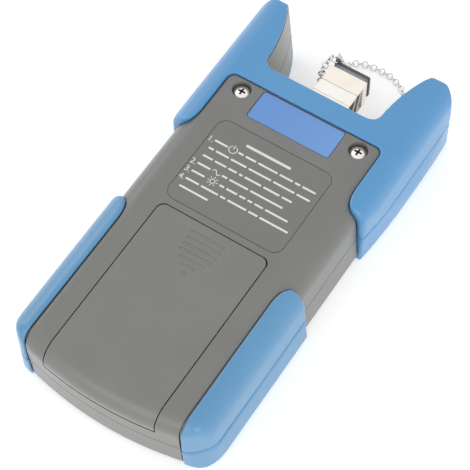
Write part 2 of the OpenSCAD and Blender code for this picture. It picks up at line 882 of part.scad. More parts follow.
module front_shell() {
    in_frame() color(SHELL_GREY) difference() {
        union() {
            front_part() difference() {
                body(0, 0);
                grip_seats();
                cavity();
                horn_hollows(core_lo + horn_wall, span);
            }
            for (p = screw_places)
                translate([p[0], p[1], floor_z - over])
                    cylinder(h = part_z - floor_z + over, r = front_boss_r);
            for (p = post_places)
                translate([p[0], p[1], floor_z - over])
                    cylinder(h = board_z - floor_z + over, r = post_r);
        }
        end_slot();
        for (p = screw_places)
            translate([p[0], p[1], screw_low_z - over]) cylinder(h = span, r = shank_r + shank_gap);
        for (p = post_places)
            translate([p[0], p[1], board_z - post_screw_l])
                cylinder(h = span, r = post_screw_r + shank_gap);
        for (p = key_places)
            translate([p[0], p[1], -over]) cylinder(h = floor_z + 2 * over, r = key_r + key_gap);
        // The overlay's recess, the window's seat and the display's view
        translate([0, overlay_y, -over]) linear_extrude(overlay_z + over)
            rounded(overlay_w + 2 * label_gap, overlay_l + 2 * label_gap, overlay_r + label_gap);
        translate([0, lcd_y, 0]) {
            window_w = view_w + 2 * (window_rim + label_gap);
            window_l = view_l + 2 * (window_rim + label_gap);
            linear_extrude(overlay_z + window_t) square([window_w, window_l], center = true);
            linear_extrude(floor_z + over) square([view_w, view_l], center = true);
        }
        for (s = [-1, 1])
            bar_y(s * flange_screw_x, flange_screw_z, flange_screw_r,
                wall_in_y - over, wall_in_y + flange_screw_l);
    }
}

// A guard or grip: the band between the seat and an outside whose sides grow by s
module soft_band(s) {
    difference() {
        intersection() {
            bulk(proud, s);
            prism() children();
        }
        bulk(seat_play - rebate, seat_play - rebate);
        horn_gap();
    }
}

// The guard round the connector end, whose sides are bowed
module guard() {
    intersection() {
        soft_band(guard_side + guard_cut) top_mask_2d(0);
        prism() both_ways() translate([half_w + guard_side - guard_bow_r, guard_bow_y])
            circle(guard_bow_r, $fn = bow_fn);
    }
}

// What lies in both what it holds and its mirror image
module both_ways() {
    intersection() {
        children();
        mirror([1, 0]) children();
    }
}

module rear_top_guard() {
    in_frame() color(GRIP_BLUE) rear_part() guard();
}

module front_top_guard() {
    in_frame() color(GRIP_BLUE) front_part() guard();
}

module rear_left_grip() {
    in_frame() color(GRIP_BLUE) rear_part() soft_band(grip_side) mirror([1, 0]) grip_mask_2d(0);
}

module rear_right_grip() {
    in_frame() color(GRIP_BLUE) rear_part() soft_band(grip_side) grip_mask_2d(0);
}

module front_left_grip() {
    in_frame() color(GRIP_BLUE) front_part() soft_band(grip_side) mirror([1, 0]) grip_mask_2d(0);
}

module front_right_grip() {
    in_frame() color(GRIP_BLUE) front_part() soft_band(grip_side) grip_mask_2d(0);
}

hook_in_x = bay_half - ledge_w - hook_gap - hook_t;
door_under_z = core_hi - door_t;

module battery_door() {
    in_frame() color(DOOR_GREY) {
        difference() {
            intersection() {
                body(0, 0);
                translate([0, 0, door_low_z]) linear_extrude(case_h) door_2d(door_gap);
            }
            body(-door_t, -door_t);
            for (i = [0:groove_n - 1]) {
                left = (groove_n - 1 - i) * groove_pitch + groove_w;
                reach = groove_long * min(1, left / groove_taper) - groove_w;
                translate([0, groove_y - i * groove_pitch, core_hi - groove_d])
                    linear_extrude(span) {
                        square([reach, groove_w], center = true);
                        for (m = [-1, 1]) translate([m * reach / 2, 0]) circle(d = groove_w);
                    }
            }
        }
        // Hooks that run under the ledges
        both_sides() for (i = [0:2]) {
            y = hook_first_y - i * hook_pitch;
            block([hook_in_x, y - hook_l / 2, hook_z - hook_t],
                [hook_in_x + hook_t, y + hook_l / 2, door_under_z]);
            block([hook_in_x, y - hook_l / 2, hook_z - hook_t],
                [hook_in_x + hook_t + hook_foot_w, y + hook_l / 2, hook_z]);
        }
        // Tongue that tucks under the shell at the upper edge
        tongue_top = ceiling_z - hook_gap;
        block([-tongue_half_w, door_y - door_gap - tongue_l, tongue_top - hook_t],
            [tongue_half_w, door_y - door_gap, door_under_z]);
        block([-tongue_half_w, door_y - door_gap - tongue_l, tongue_top - hook_t],
            [tongue_half_w, door_y + tongue_l, tongue_top]);
    }
}

module door_foam_pad() {
    mid_y = (bay_lo_y + bay_hi_y) / 2;
    in_frame() color(BLACK) block([-pad_w / 2, mid_y - pad_l / 2, door_under_z - pad_t],
        [pad_w / 2, mid_y + pad_l / 2, door_under_z]);
}

// A pan head screw that stands on its head's underside, with a shank of length l below it
module screw(r, h, bowl_r, shank, l) {
    difference() {
        union() {
            intersection() {
                cylinder(h = h, r = r);
                translate([0, 0, h - bowl_r]) sphere(bowl_r);
            }
            translate([0, 0, -l]) cylinder(h = l + h / 4, r = shank);
        }
        for (a = [0, 90]) rotate([0, 0, a])
            translate([-cross_l * r / head_r / 2, -cross_w * r / head_r / 2, h - cross_d * h / head_h])
                cube([cross_l * r / head_r, cross_w * r / head_r, span]);
    }
}

module case_screws() {
    in_frame() color(STEEL) for (p = screw_places)
        translate([p[0], p[1], seat_z])
            screw(head_r, head_h, head_bowl_r, shank_r, seat_z - screw_low_z);
}

module name_plate() {
    in_frame() color(PLATE_BLUE) translate([0, plate_y, core_hi - plate_recess])
        linear_extrude(plate_t) rounded(plate_w, plate_l, plate_r);
}

module instruction_label() {
    in_frame() color(SHELL_GREY) translate([0, label_y, core_hi - label_t])
        linear_extrude(label_t) rounded(label_w, label_l, label_r);
}

// The cells lie side by side, the middle one turned end for end
cell_z = bay_floor_z + cell_gap + cell_r;
cell_mid_y = (bay_lo_y + bay_hi_y) / 2;
cell_room = bay_hi_y - bay_lo_y - 2 * contact_t - cell_gap;
cell_total = cell_l + nub_l;
spring_l = cell_room - cell_total;

// A cell whose nub points to +Y and touches the contact there
module cell(x) {
    y1 = bay_hi_y - contact_t;
    bar_y(x, cell_z, nub_r, y1 - cell_total, y1);
    bar_y(x, cell_z, cell_r, y1 - cell_total, y1 - nub_l);
}

// Turns what it holds end for end about the middle of the bay
module turned() {
    translate([0, 2 * cell_mid_y, 0]) mirror([0, 1, 0]) children();
}

module cell_left() {
    in_frame() color(CELL_GOLD) cell(-cell_pitch);
}

module cell_middle() {
    in_frame() color(CELL_GOLD) turned() cell(0);
}

module cell_right() {
    in_frame() color(CELL_GOLD) cell(cell_pitch);
}

// A conical spring of round wire along y, as one tube of rings
ring_steps = 14;
ring_sides = 6;
function spring_point(t) =
    let (a = 360 * spring_turns * t,
        r = spring_big_r + (spring_small_r - spring_big_r) * t)
    [r * cos(a), spring_wire_r + (spring_l - 2 * spring_wire_r) * t, r * sin(a)];
function spring_ring(t) =
    let (a = 360 * spring_turns * t, c = spring_point(t), out = [cos(a), 0, sin(a)])
    [for (k = [0:ring_sides - 1])
        let (b = 360 * k / ring_sides)
        c + spring_wire_r * (cos(b) * out + sin(b) * [0, 1, 0])];

module coil() {
    n = spring_turns * ring_steps;
    points = [for (i = [0:n]) each spring_ring(i / n)];
    sides = [for (i = [0:n - 1], k = [0:ring_sides - 1])
        let (a = i * ring_sides + k, b = i * ring_sides + (k + 1) % ring_sides)
        each [[a, b, a + ring_sides], [b, b + ring_sides, a + ring_sides]]];
    first = [for (k = [ring_sides - 1:-1:0]) k];
    last = [for (k = [0:ring_sides - 1]) n * ring_sides + k];
    polyhedron(points, concat([first, last], sides), convexity = 8);
}

module battery_springs() {
    in_frame() color(STEEL) {
        for (x = [-cell_pitch, cell_pitch])
            translate([x, bay_lo_y + contact_t, cell_z]) coil();
        turned() translate([0, bay_lo_y + contact_t, cell_z]) coil();
    }
}

module battery_contacts() {
    in_frame() color(NICKEL) {
        for (x = [-cell_pitch, cell_pitch]) {
            block([x - contact_w / 2, bay_hi_y - contact_t, bay_floor_z],
                [x + contact_w / 2, bay_hi_y, bay_floor_z + contact_h]);
            block([x - tail_w / 2, bay_hi_y - contact_t, board_z + board_t],
                [x + tail_w / 2, bay_hi_y, bay_floor_z]);
        }
        block([-contact_w / 4, bay_hi_y - contact_t, bay_floor_z],
            [contact_w / 4, bay_hi_y, bay_floor_z + contact_h]);
        block([-cell_pitch - contact_w / 2, bay_lo_y, bay_floor_z],
            [contact_w / 2, bay_lo_y + contact_t, bay_floor_z + contact_h]);
        block([cell_pitch - contact_w / 2, bay_lo_y, bay_floor_z],
            [cell_pitch + contact_w / 2, bay_lo_y + contact_t, bay_floor_z + contact_h]);
    }
}

module main_board() {
    in_frame() color(BOARD_GREEN) translate([0, 0, board_z]) linear_extrude(board_t) difference() {
        translate([-board_w / 2, board_lo_y]) square([board_w, board_hi_y - board_lo_y]);
        translate([-notch_half_w, notch_y]) square([2 * notch_half_w, span]);
        for (p = screw_places) translate(p) circle(front_boss_r + shank_gap + boss_wall / 4);
        for (p = post_places) translate(p) circle(post_screw_r + shank_gap);
    }
}

// Packages on the back of the board: the main chip and two converters
board_top = board_z + board_t;
chip_y = (label_y + door_y) / 2;
module board_chips() {
    in_frame() color(BLACK) {
        block([-chip_w / 2, chip_y - chip_w / 2, board_top],
            [chip_w / 2, chip_y + chip_w / 2, board_top + chip_h]);
        for (s = [-1, 1])
            block([s * chip_w - adc_w / 2, label_y + chip_w - adc_w / 2, board_top],
                [s * chip_w + adc_w / 2, label_y + chip_w + adc_w / 2, board_top + chip_h]);
    }
}

module buzzer() {
    in_frame() color(BLACK) translate([buzzer_in - board_w / 2, chip_y, board_top]) difference() {
        cylinder(h = buzzer_h, r = buzzer_r);
        translate([0, 0, buzzer_h / 2]) cylinder(h = buzzer_h, r = buzzer_r / 4);
    }
}

module board_screws() {
    in_frame() color(STEEL) for (p = post_places)
        translate([p[0], p[1], board_top])
            screw(post_head_r, post_head_h, head_bowl_r, post_screw_r,
                board_t + post_screw_l - shank_gap);
}

module lcd_window() {
    in_frame() color(CLEAR) translate([0, lcd_y, overlay_z]) linear_extrude(window_t)
        square([view_w + 2 * window_rim, view_l + 2 * window_rim], center = true);
}

// The display's frame stands on the board and holds the glass and the backlight
glass_w = view_w + 2 * glass_rim;
glass_l = view_l + 2 * glass_rim;
backlight_z = board_z - backlight_t;
glass_z = backlight_z - glass_t;
module lcd_frame() {
    in_frame() color(BLACK) difference() {
        translate([0, lcd_y, glass_z - frame_lip]) linear_extrude(board_z - glass_z + frame_lip)
            square([view_w + 2 * frame_rim, view_l + 2 * frame_rim], center = true);
        translate([0, lcd_y, 0]) linear_extrude(span) square([view_w, view_l], center = true);
        translate([0, lcd_y, glass_z]) linear_extrude(span)
            square([glass_w, glass_l], center = true);
    }
}

module lcd_glass() {
    in_frame() color(CLEAR) translate([0, lcd_y, glass_z]) linear_extrude(glass_t)
        square([glass_w, glass_l], center = true);
}

module backlight_panel() {
    in_frame() color(WHITE) translate([0, lcd_y, backlight_z]) linear_extrude(backlight_t)
        square([glass_w, glass_l], center = true);
}

module front_overlay() {
    in_frame() color(BLACK) translate([0, 0, overlay_z - overlay_t]) linear_extrude(overlay_t)
        difference() {
            translate([0, overlay_y]) rounded(overlay_w, overlay_l, overlay_r);
            translate([0, lcd_y]) square([view_w, view_l], center = true);
            for (p = key_places) translate(p) circle(key_r + key_gap);
        }
}

// The keys stand in their web, and press their pills on the board
flange_r = key_r + key_flange_w;
flange_z = floor_z + key_gap;
web_z = floor_z + shank_gap;
key_mid_y = (key_hi_y + key_lo_y) / 2;
web_w = 2 * (key_x + key_r + web_rim);
web_l = key_hi_y - key_lo_y + 2 * (key_r + web_rim);
web_post_x = web_w / 2 - web_post_r;
web_post_y = web_l / 2 - web_post_r;

module keypad_web() {
    in_frame() color("#4A4C52") {
        difference() {
            translate([0, key_mid_y, web_z]) linear_extrude(web_t)
                square([web_w, web_l], center = true);
            for (p = key_places)
                translate([p[0], p[1], 0]) cylinder(h = span, r = flange_r + key_gap);
        }
        for (sx = [-1, 1], sy = [-1, 1])
            translate([sx * web_post_x, key_mid_y + sy * web_post_y, web_z])
                cylinder(h = board_z - web_z, r = web_post_r);
    }
}

module key(p) {
    top = overlay_z - overlay_t - key_stand;
    in_frame() color("#4A4C52") translate([p[0], p[1], 0]) {
        translate([0, 0, top]) cylinder(h = flange_z + key_flange_t - top, r = key_r);
        translate([0, 0, flange_z]) cylinder(h = key_flange_t, r = flange_r);
        translate([0, 0, flange_z]) cylinder(h = board_z - key_travel - key_gap / 2 - flange_z, r = pill_r);
    }
}

module key_power() {
    key(key_places[0]);
}

module key_wavelength() {
    key(key_places[1]);
}

module key_backlight() {
    key(key_places[2]);
}

module key_mode() {
    key(key_places[3]);
}

// The connector: a base through the case wall, a front section, a liner and a sleeve
liner_w = con_w - 2 * con_wall;
liner_h = con_h - 2 * con_wall;
aperture_r = header_r + sleeve_gap;

// A box section about the connector's axis
module con_box(w, h, y0, y1) {
    along_y(y0, y1) translate([0, axis_z]) square([w, h], center = true);
}

clip_y = clip_end_y - clip_l / 2;

// The recess for a clip in each side
module clip_recesses() {
    both_sides() block([con_w / 2 - clip_recess, clip_y - clip_l / 2, axis_z - clip_h / 2],
        [con_w / 2 + over, clip_end_y, axis_z + clip_h / 2]);
}

// The shallow groove round the body near the case wall
module neck_groove() {
    difference() {
        con_box(con_w + over, con_h + over, neck_y, neck_y + con_groove_w);
        con_box(con_w - 2 * con_groove_d, con_h - 2 * con_groove_d, neck_y - over, neck_y + over);
    }
}

module connector_base() {
    in_frame() color(NICKEL) difference() {
        union() {
            con_box(con_w, con_h, wall_in_y - flange_t / 2, con_split_y);
            con_box(con_w + 2 * flange_rim, con_h, wall_in_y - flange_t, wall_in_y);
        }
        neck_groove();
        con_box(liner_w, liner_h, liner_y, con_split_y + over);
        bar_y(0, axis_z, aperture_r, wall_in_y - flange_t - over, liner_y + over);
        clip_recesses();
        for (s = [-1, 1])
            bar_y(s * flange_screw_x, flange_screw_z, flange_screw_r + shank_gap,
                wall_in_y - 2 * flange_t, wall_in_y + over);
    }
}

module connector_front() {
    in_frame() color(NICKEL) difference() {
        union() {
            con_box(con_w, con_h, con_split_y + con_groove_w, con_end_y);
            con_box(con_w - 2 * con_groove_d, con_h - 2 * con_groove_d,
                con_split_y, con_end_y - over);
        }
        con_box(liner_w, liner_h, con_split_y - over, con_end_y + over);
        clip_recesses();
    }
}

sleeve_y = liner_y + holder_wall;
sleeve_end_y = sleeve_y + sleeve_l;
holder_r = sleeve_out_r + sleeve_gap + holder_wall;

module connector_liner() {
    in_frame() color(WHITE) difference() {
        union() {
            difference() {
                con_box(liner_w, liner_h, liner_y, con_end_y - cap_gap);
                con_box(socket_w, socket_h, socket_y, con_end_y + over);
            }
            bar_y(0, axis_z, holder_r, socket_y - over, sleeve_end_y + holder_wall);
        }
        bar_y(0, axis_z, sleeve_out_r + sleeve_gap, sleeve_y, sleeve_end_y + sleeve_gap);
        bar_y(0, axis_z, sleeve_in_r, liner_y - over, con_end_y);
    }
}

module ferrule_sleeve() {
    in_frame() color(WHITE) difference() {
        bar_y(0, axis_z, sleeve_out_r, sleeve_y, sleeve_end_y);
        bar_y(0, axis_z, sleeve_in_r, sleeve_y - over, sleeve_end_y + over);
    }
}

// A sprung clip in each side: a thin frame with two thicker legs that cross it at a slant
module connector_clips() {
    leg_x = clip_l / 2 - clip_rim - clip_lean / 2;
    in_frame() color(STEEL) both_sides()
        translate([con_w / 2 - clip_recess, clip_y, axis_z]) rotate([90, 0, 90]) {
            linear_extrude(clip_t) difference() {
                square([clip_l, clip_h], center = true);
                square([clip_l - 2 * clip_rim, clip_h - 2 * clip_rim], center = true);
            }
            linear_extrude(clip_leg_t) for (i = [0, 1]) intersection() {
                square([clip_l, clip_h], center = true);
                translate([leg_x - i * clip_pitch, 0]) rotate([0, 0, -atan2(clip_lean, clip_h)])
                    square([clip_leg_w, 2 * clip_h], center = true);
            }
        }
}

module flange_screws() {
    in_frame() color(STEEL) for (s = [-1, 1])
        translate([s * flange_screw_x, wall_in_y - flange_t, flange_screw_z]) rotate([90, 0, 0])
            screw(flange_head_r, flange_head_h, head_bowl_r,
                flange_screw_r - shank_gap, flange_t + flange_screw_l - shank_gap);
}

// The photodiode looks at the end of the sleeve, held in a ring on the flange
can_y = wall_in_y;
det_y = notch_y + det_board_t;
module detector_can() {
    in_frame() color(COPPER) {
        bar_y(0, axis_z, can_r, can_y, can_y + can_l - flange_t / 2);
        bar_y(0, axis_z, header_r, can_y - header_t, can_y);
        for (a = [30, 150, 270])
            bar_y(lead_pitch_r * cos(a), axis_z + lead_pitch_r * sin(a), lead_r,
                notch_y, can_y);
    }
}

ring_y = wall_in_y - flange_t;
module detector_ring() {
    in_frame() color(BLACK) difference() {
        bar_y(0, axis_z, ring_out_r, ring_y - 2 * flange_t, ring_y);
        bar_y(0, axis_z, header_r - holder_wall / 2, ring_y - 3 * flange_t, ring_y + over);
    }
}

module detector_board() {
    in_frame() color(BOARD_GREEN) difference() {
        block([-det_board_w / 2, notch_y, board_z],
            [det_board_w / 2, det_y, board_z + det_board_h]);
        for (a = [30, 150, 270])
            bar_y(lead_pitch_r * cos(a), axis_z + lead_pitch_r * sin(a), lead_r + sleeve_gap,
                notch_y - over, det_y + over);
    }
}

// The dust cap: a plate and a collar over the mouth, a hollow plug in the socket and an ear
// for the ring
cap_y = con_end_y + cap_gap;
plate_back_y = cap_y + collar_t;
ring_cy = plate_back_y + cap_t / 2;
ear_z = axis_z + con_h / 2 + ring_lift + ring_wire_r;
module dust_cap() {
    in_frame() color(CAP_GREY) difference() {
        union() {
            along_y(plate_back_y, plate_back_y + cap_t) translate([0, axis_z])
                rounded(cap_w, cap_h, cap_r);
            along_y(cap_y, plate_back_y + cap_t / 2) translate([0, axis_z])
                rounded(cap_w - 2 * collar_in, cap_h - 2 * collar_in, cap_r);
            con_box(socket_w - 2 * plug_gap, socket_h - 2 * plug_gap, cap_y - plug_l, cap_y + cap_r);
            bar_y(-ear_x, ear_z, ear_r, ring_cy - ear_t / 2, ring_cy + ear_t / 2);
        }
        bar_y(0, axis_z, holder_r + plug_gap, cap_y - plug_l - over, cap_y);
        bar_y(-ear_x, ear_z, ear_hole_r, cap_y - over, plate_back_y + cap_t + over);
    }
}

ring_cx = -ear_x - ring_r;
module cap_ring() {
    in_frame() color(STEEL) translate([ring_cx, ring_cy, ear_z])
        rotate_extrude() translate([ring_r, 0]) circle(ring_wire_r, $fn = 24);
}

// The chain hangs on the ring by both ends, lies on the rest plane in a loop and goes round
// under the connector's neck
hook_in = link_r - link_wire_r - ring_wire_r - link_play / 2;
lie_z = link_r * sin(45) + link_wire_r + link_play;
chain_route = [
    [ring_cx, ring_cy + ring_r + hook_in, ear_z - link_play],
    [-7.6, 86.9, 15.2],
    [-7.5, 88.2, 11.5],
    [-7.5, 90.2, 7],
    [-7.7, 93, 3.2],
    [-7, 96.2, lie_z],
    [-3.6, 98.4, lie_z],
    [1.7, 99.3, lie_z],
    [7.5, 99.2, lie_z],
    [12.5, 97.8, lie_z],
    [16.6, 95, lie_z],
    [19.2, 90, lie_z],
    [19.5, 83, lie_z],
    [18.3, 76, lie_z],
    [15, 69.5, lie_z],
    [8.5, 65.6, lie_z],
    [0, 64.2, lie_z],
    [-7, 65.6, lie_z],
    [-10.2, 70, 1.9],
    [-10.3, 74.6, 4.4],
    [-10.1, 76.6, 8.4],
    [-10.1, 77.2, 12.6],
    [-10.1, 78, 15.8],
    [-10, 80, 17.2],
    [ring_cx - ring_r - hook_in, ring_cy, ear_z - link_play]];

// A smooth curve through the route's points, which nowhere dips below the lying links
route_n = len(chain_route) - 1;
fine_steps = 12;
function at(i) = chain_route[max(0, min(route_n, i))];
function smooth(i, t) =
    let (a = at(i - 1), b = at(i), c = at(i + 1), d = at(i + 2),
        p = (2 * b + (c - a) * t + (2 * a - 5 * b + 4 * c - d) * t * t
            + (3 * b - a - 3 * c + d) * t * t * t) / 2)
    [p[0], p[1], max(p[2], lie_z)];
curve = concat([for (i = [0:route_n - 1], k = [0:fine_steps - 1]) smooth(i, k / fine_steps)],
    [chain_route[route_n]]);
function lengths(i = 0, sum = 0, out = [0]) =
    i >= len(curve) - 1 ? out :
    let (s = sum + norm(curve[i + 1] - curve[i]))
    lengths(i + 1, s, concat(out, [s]));
run = lengths();
curve_l = run[len(run) - 1];
// The links' pitch is the nearest to their free pitch that fills the curve
free_pitch = 2 * (link_r - link_wire_r) - link_play;
link_n = round(curve_l / free_pitch);
function find(s, i = 0) = i >= len(run) - 2 || run[i + 1] >= s ? i : find(s, i + 1);
function along(s) =
    let (i = find(s), t = (s - run[i]) / (run[i + 1] - run[i]))
    curve[i] + (curve[i + 1] - curve[i]) * t;

// Direction of the chain at link i, the turn of the link about it and how far the link reaches
function heading(i) =
    let (s = i * curve_l / link_n, e = link_r / 2,
        d = along(min(curve_l, s + e)) - along(max(0, s - e)))
    d / norm(d);
function link_turn(i) = i == 0 || i == link_n ? 90 : 45 + 90 * (i % 2);
function link_reach(i) =
    let (d = heading(i), t = link_turn(i), flat = norm([d[0], d[1]]),
        side = [-d[1], d[0], 0] / flat, up = cross(d, side),
        axis = cos(t) * up - sin(t) * side)
    along(i * curve_l / link_n)[1] + link_r * sqrt(1 - axis[1] * axis[1]) + link_wire_r;
chain_reach = max([for (i = [0:link_n]) link_reach(i)]);
// The chain reaches past the horns, so the middle of the whole part lies beyond the case's
frame_y = (case_l / 2 - chain_reach) / 2;
module link(i) {
    d = heading(i);
    translate(along(i * curve_l / link_n))
        rotate([0, 0, atan2(d[1], d[0])])
            rotate([0, -asin(d[2]), 0])
                rotate([link_turn(i), 0, 0])
                    rotate_extrude($fn = 32)
                        translate([link_r, 0]) circle(link_wire_r, $fn = 16);
}

module cap_chain() {
    in_frame() color(STEEL) for (i = [0:link_n]) link(i);
}

rear_shell();
front_shell();
rear_top_guard();
front_top_guard();
rear_left_grip();
rear_right_grip();
front_left_grip();
front_right_grip();
battery_door();
door_foam_pad();
case_screws();
name_plate();
instruction_label();
cell_left();
cell_middle();
cell_right();
battery_springs();
battery_contacts();
main_board();
board_chips();
buzzer();
board_screws();
lcd_window();
lcd_frame();
lcd_glass();
backlight_panel();
front_overlay();
keypad_web();
key_power();
key_wavelength();
key_backlight();
key_mode();
connector_base();
connector_front();
connector_liner();
ferrule_sleeve();
connector_clips();
flange_screws();
detector_can();
detector_ring();
detector_board();
dust_cap();
cap_ring();
cap_chain();
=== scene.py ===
# %% [markdown]
# # A handheld optical power meter, seen from its back
# This lesson dresses a finished CAD model of a fibre tester: a grey plastic case in soft blue
# guards, with a battery door, a label, and a square fibre connector whose cap hangs on a
# loose loop of fine chain. The CAD model is loaded as a fixed frame. Nothing in it moves: each
# step either gives a CAD part a better finish, or builds a finer piece over it. Places along
# the case are measured from its middle, which is found from the name plate.

# %% Load the model and note its size
import math

import bpy
from mathutils import Matrix, Vector


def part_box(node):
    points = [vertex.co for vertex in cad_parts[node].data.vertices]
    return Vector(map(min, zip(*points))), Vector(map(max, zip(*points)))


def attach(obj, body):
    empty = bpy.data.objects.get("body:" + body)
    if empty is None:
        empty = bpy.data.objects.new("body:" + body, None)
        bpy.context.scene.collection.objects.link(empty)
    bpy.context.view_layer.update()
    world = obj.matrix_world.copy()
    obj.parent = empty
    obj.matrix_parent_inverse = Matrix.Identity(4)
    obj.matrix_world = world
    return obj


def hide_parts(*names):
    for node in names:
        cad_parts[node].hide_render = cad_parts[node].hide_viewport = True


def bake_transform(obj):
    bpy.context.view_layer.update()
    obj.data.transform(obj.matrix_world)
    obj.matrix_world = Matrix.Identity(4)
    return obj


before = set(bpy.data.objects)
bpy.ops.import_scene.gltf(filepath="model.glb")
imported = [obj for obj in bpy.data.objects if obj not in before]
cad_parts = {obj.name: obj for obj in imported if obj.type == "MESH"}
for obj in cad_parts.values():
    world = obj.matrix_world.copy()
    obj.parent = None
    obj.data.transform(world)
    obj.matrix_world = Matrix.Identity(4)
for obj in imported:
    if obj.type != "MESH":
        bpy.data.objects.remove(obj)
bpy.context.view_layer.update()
mm = 0.001
plate_low, plate_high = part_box("name_plate")
mid_y = (plate_low.y + plate_high.y) / 2 - 41.8 * mm

# %% [markdown]
# ## The camera
# A product photograph is nearly always taken with a long lens from some way off, so that
# straight edges stay straight. This one looks down on the back of the meter from the lower
# right. Its place was worked out from the corners of the case, so it is set here as a matrix:
# three directions and a point.

# %% Set the camera
right = Vector((0.83980349, 0.54281272, -0.00918945))
up = Vector((-0.46180576, 0.72316945, 0.51357705))
backward = Vector((0.28542168, -0.42706006, 0.85799427))
camera_point = (192.592 * mm, mid_y - 287.909 * mm, 590.143 * mm)
bpy.ops.object.camera_add()
camera = bpy.context.object
camera.name = "photo_camera"
camera.data.lens = 140.7
camera.data.sensor_width = 36
camera.data.clip_end = 10
turn = Matrix((right, up, backward)).transposed().to_4x4()
camera.matrix_world = Matrix.Translation(camera_point) @ turn
bpy.context.scene.camera = camera
print("camera distance in mm:", round(camera.location.length / mm))

# %% [markdown]
# ## Colours and nodes
# A colour is picked as it looks on screen, and Blender wants it in linear light, so one
# function converts it. One more function adds a node, sets its sockets and links the sockets
# that are given another node's output. Every finish below is made with these.

# %% Colour and node helpers
def linear(code):
    parts = [int(code[i:i + 2], 16) / 255 for i in (1, 3, 5)]
    return tuple(c / 12.92 if c <= 0.04045 else ((c + 0.055) / 1.055) ** 2.4 for c in parts) + (1,)


def add_node(tree, kind, sockets=None, **settings):
    node = tree.nodes.new(kind)
    for name, value in settings.items():
        setattr(node, name, value)
    for name, value in (sockets or {}).items():
        if isinstance(value, bpy.types.NodeSocket):
            tree.links.new(value, node.inputs[name])
        else:
            node.inputs[name].default_value = value
    return node


print("mid grey in linear light:", round(linear("#808080")[0], 3))


# %% A new finish and its shader
def shader_of(finish):
    return finish.node_tree.nodes["Principled BSDF"]


def new_finish(name, roughness, metallic=0.0):
    finish = bpy.data.materials.new(name)
    finish.use_nodes = True
    shader = shader_of(finish)
    shader.inputs["Roughness"].default_value = roughness
    shader.inputs["Metallic"].default_value = metallic
    return finish


def feed(finish, output, socket):
    finish.node_tree.links.new(output, shader_of(finish).inputs[socket])


# %% [markdown]
# ## Two colours on one finish
# Some parts change their tone at a certain place. A colour mix does that: it shows one colour
# where its share is 0 and the other where it is 1. The Mix node keeps sockets for numbers,
# vectors and colours side by side, so its colour sockets are picked by their numbers.

# %% Mix a second colour into a finish
mix_share, mix_at_0, mix_at_1, mix_result = 0, 6, 7, 2


def repaint(finish, share, code, code_socket):
    tree = finish.node_tree
    own = shader_of(finish).inputs["Base Color"].links[0].from_socket
    own_socket = mix_at_1 if code_socket == mix_at_0 else mix_at_0
    mixed = add_node(tree, "ShaderNodeMix", data_type="RGBA")
    tree.links.new(share, mixed.inputs[mix_share])
    tree.links.new(own, mixed.inputs[own_socket])
    mixed.inputs[code_socket].default_value = linear(code)
    feed(finish, mixed.outputs[mix_result], "Base Color")


# %% [markdown]
# ## A grained surface
# Moulded plastic, rubber, paint and rolled metal differ in the size and depth of their grain
# and in how much their colour drifts. One recipe covers them: a fine noise that bumps the
# surface and changes its gloss a little, and a broad noise that shades the colour. The real
# grain of a moulded case is about 0.1 mm, finer than the picture can show, so it is drawn at
# 0.4 mm and very shallow. Grain and drift are given in millimetres.

# %% A recipe for a grained finish
def grained(name, dark, light, roughness, metallic=0.0, grain=0.4, bump=0.1, drift=18.0,
            spread=0.06):
    finish = new_finish(name, roughness, metallic)
    tree = finish.node_tree
    place = add_node(tree, "ShaderNodeTexCoord").outputs["Object"]
    fine = add_node(tree, "ShaderNodeTexNoise",
                    {"Vector": place, "Scale": 1 / (grain * mm), "Detail": 3.0, "Roughness": 0.6})
    broad = add_node(tree, "ShaderNodeTexNoise",
                     {"Vector": place, "Scale": 1 / (drift * mm), "Detail": 2.0})
    tint = add_node(tree, "ShaderNodeMapRange",
                    {"Value": broad.outputs["Fac"], "From Min": 0.3, "From Max": 0.7})
    colour = add_node(tree, "ShaderNodeMix", data_type="RGBA")
    colour.inputs[mix_at_0].default_value = linear(dark)
    colour.inputs[mix_at_1].default_value = linear(light)
    tree.links.new(tint.outputs["Result"], colour.inputs[mix_share])
    feed(finish, colour.outputs[mix_result], "Base Color")
    gloss = add_node(tree, "ShaderNodeMapRange",
                     {"Value": fine.outputs["Fac"], "To Min": roughness - spread,
                      "To Max": roughness + spread})
    feed(finish, gloss.outputs["Result"], "Roughness")
    height = add_node(tree, "ShaderNodeBump",
                      {"Height": fine.outputs["Fac"], "Strength": bump, "Distance": 0.2 * mm})
    feed(finish, height.outputs["Normal"], "Normal")
    return finish


# %% [markdown]
# ## The finishes of the case
# The shells are spark-textured ABS: a mid grey with a soft, wide highlight. The battery door
# is moulded apart, so it is a touch lighter. The guards are a soft rubber moulded in sky blue,
# with a smoother skin that gives long pale highlights along the rounded edges. The lower pads
# are given a blue that is a little greyer and a skin that is a little duller.

# %% Case, door and rubber
shell_abs = grained("grey_abs_shell", "#777774", "#7B7B78", 0.36, bump=0.12)
door_abs = grained("grey_abs_door", "#797977", "#7E7E7B", 0.34, bump=0.1)
label_grey = grained("label_film", "#7A7A78", "#7C7C7A", 0.4, bump=0.03, grain=0.3)
rubber = grained("blue_soft_rubber", "#5298CE", "#579CD1", 0.38, bump=0.08, grain=0.5,
                 drift=25.0)
pad_rubber = grained("blue_pad_rubber", "#5A95C1", "#5F9AC6", 0.4, bump=0.08, grain=0.5,
                     drift=25.0)
skins = ((shell_abs, 0.38), (door_abs, 0.38), (rubber, 0.5), (pad_rubber, 0.45))
for finish, weight in skins:
    shader_of(finish).inputs["Coat Weight"].default_value = weight
    shader_of(finish).inputs["Coat Roughness"].default_value = 0.25
foam = grained("black_foam", "#141414", "#262626", 0.9, grain=0.8, bump=0.9, drift=3.0)
print("finishes with a skin:", [finish.name for finish, _ in skins])

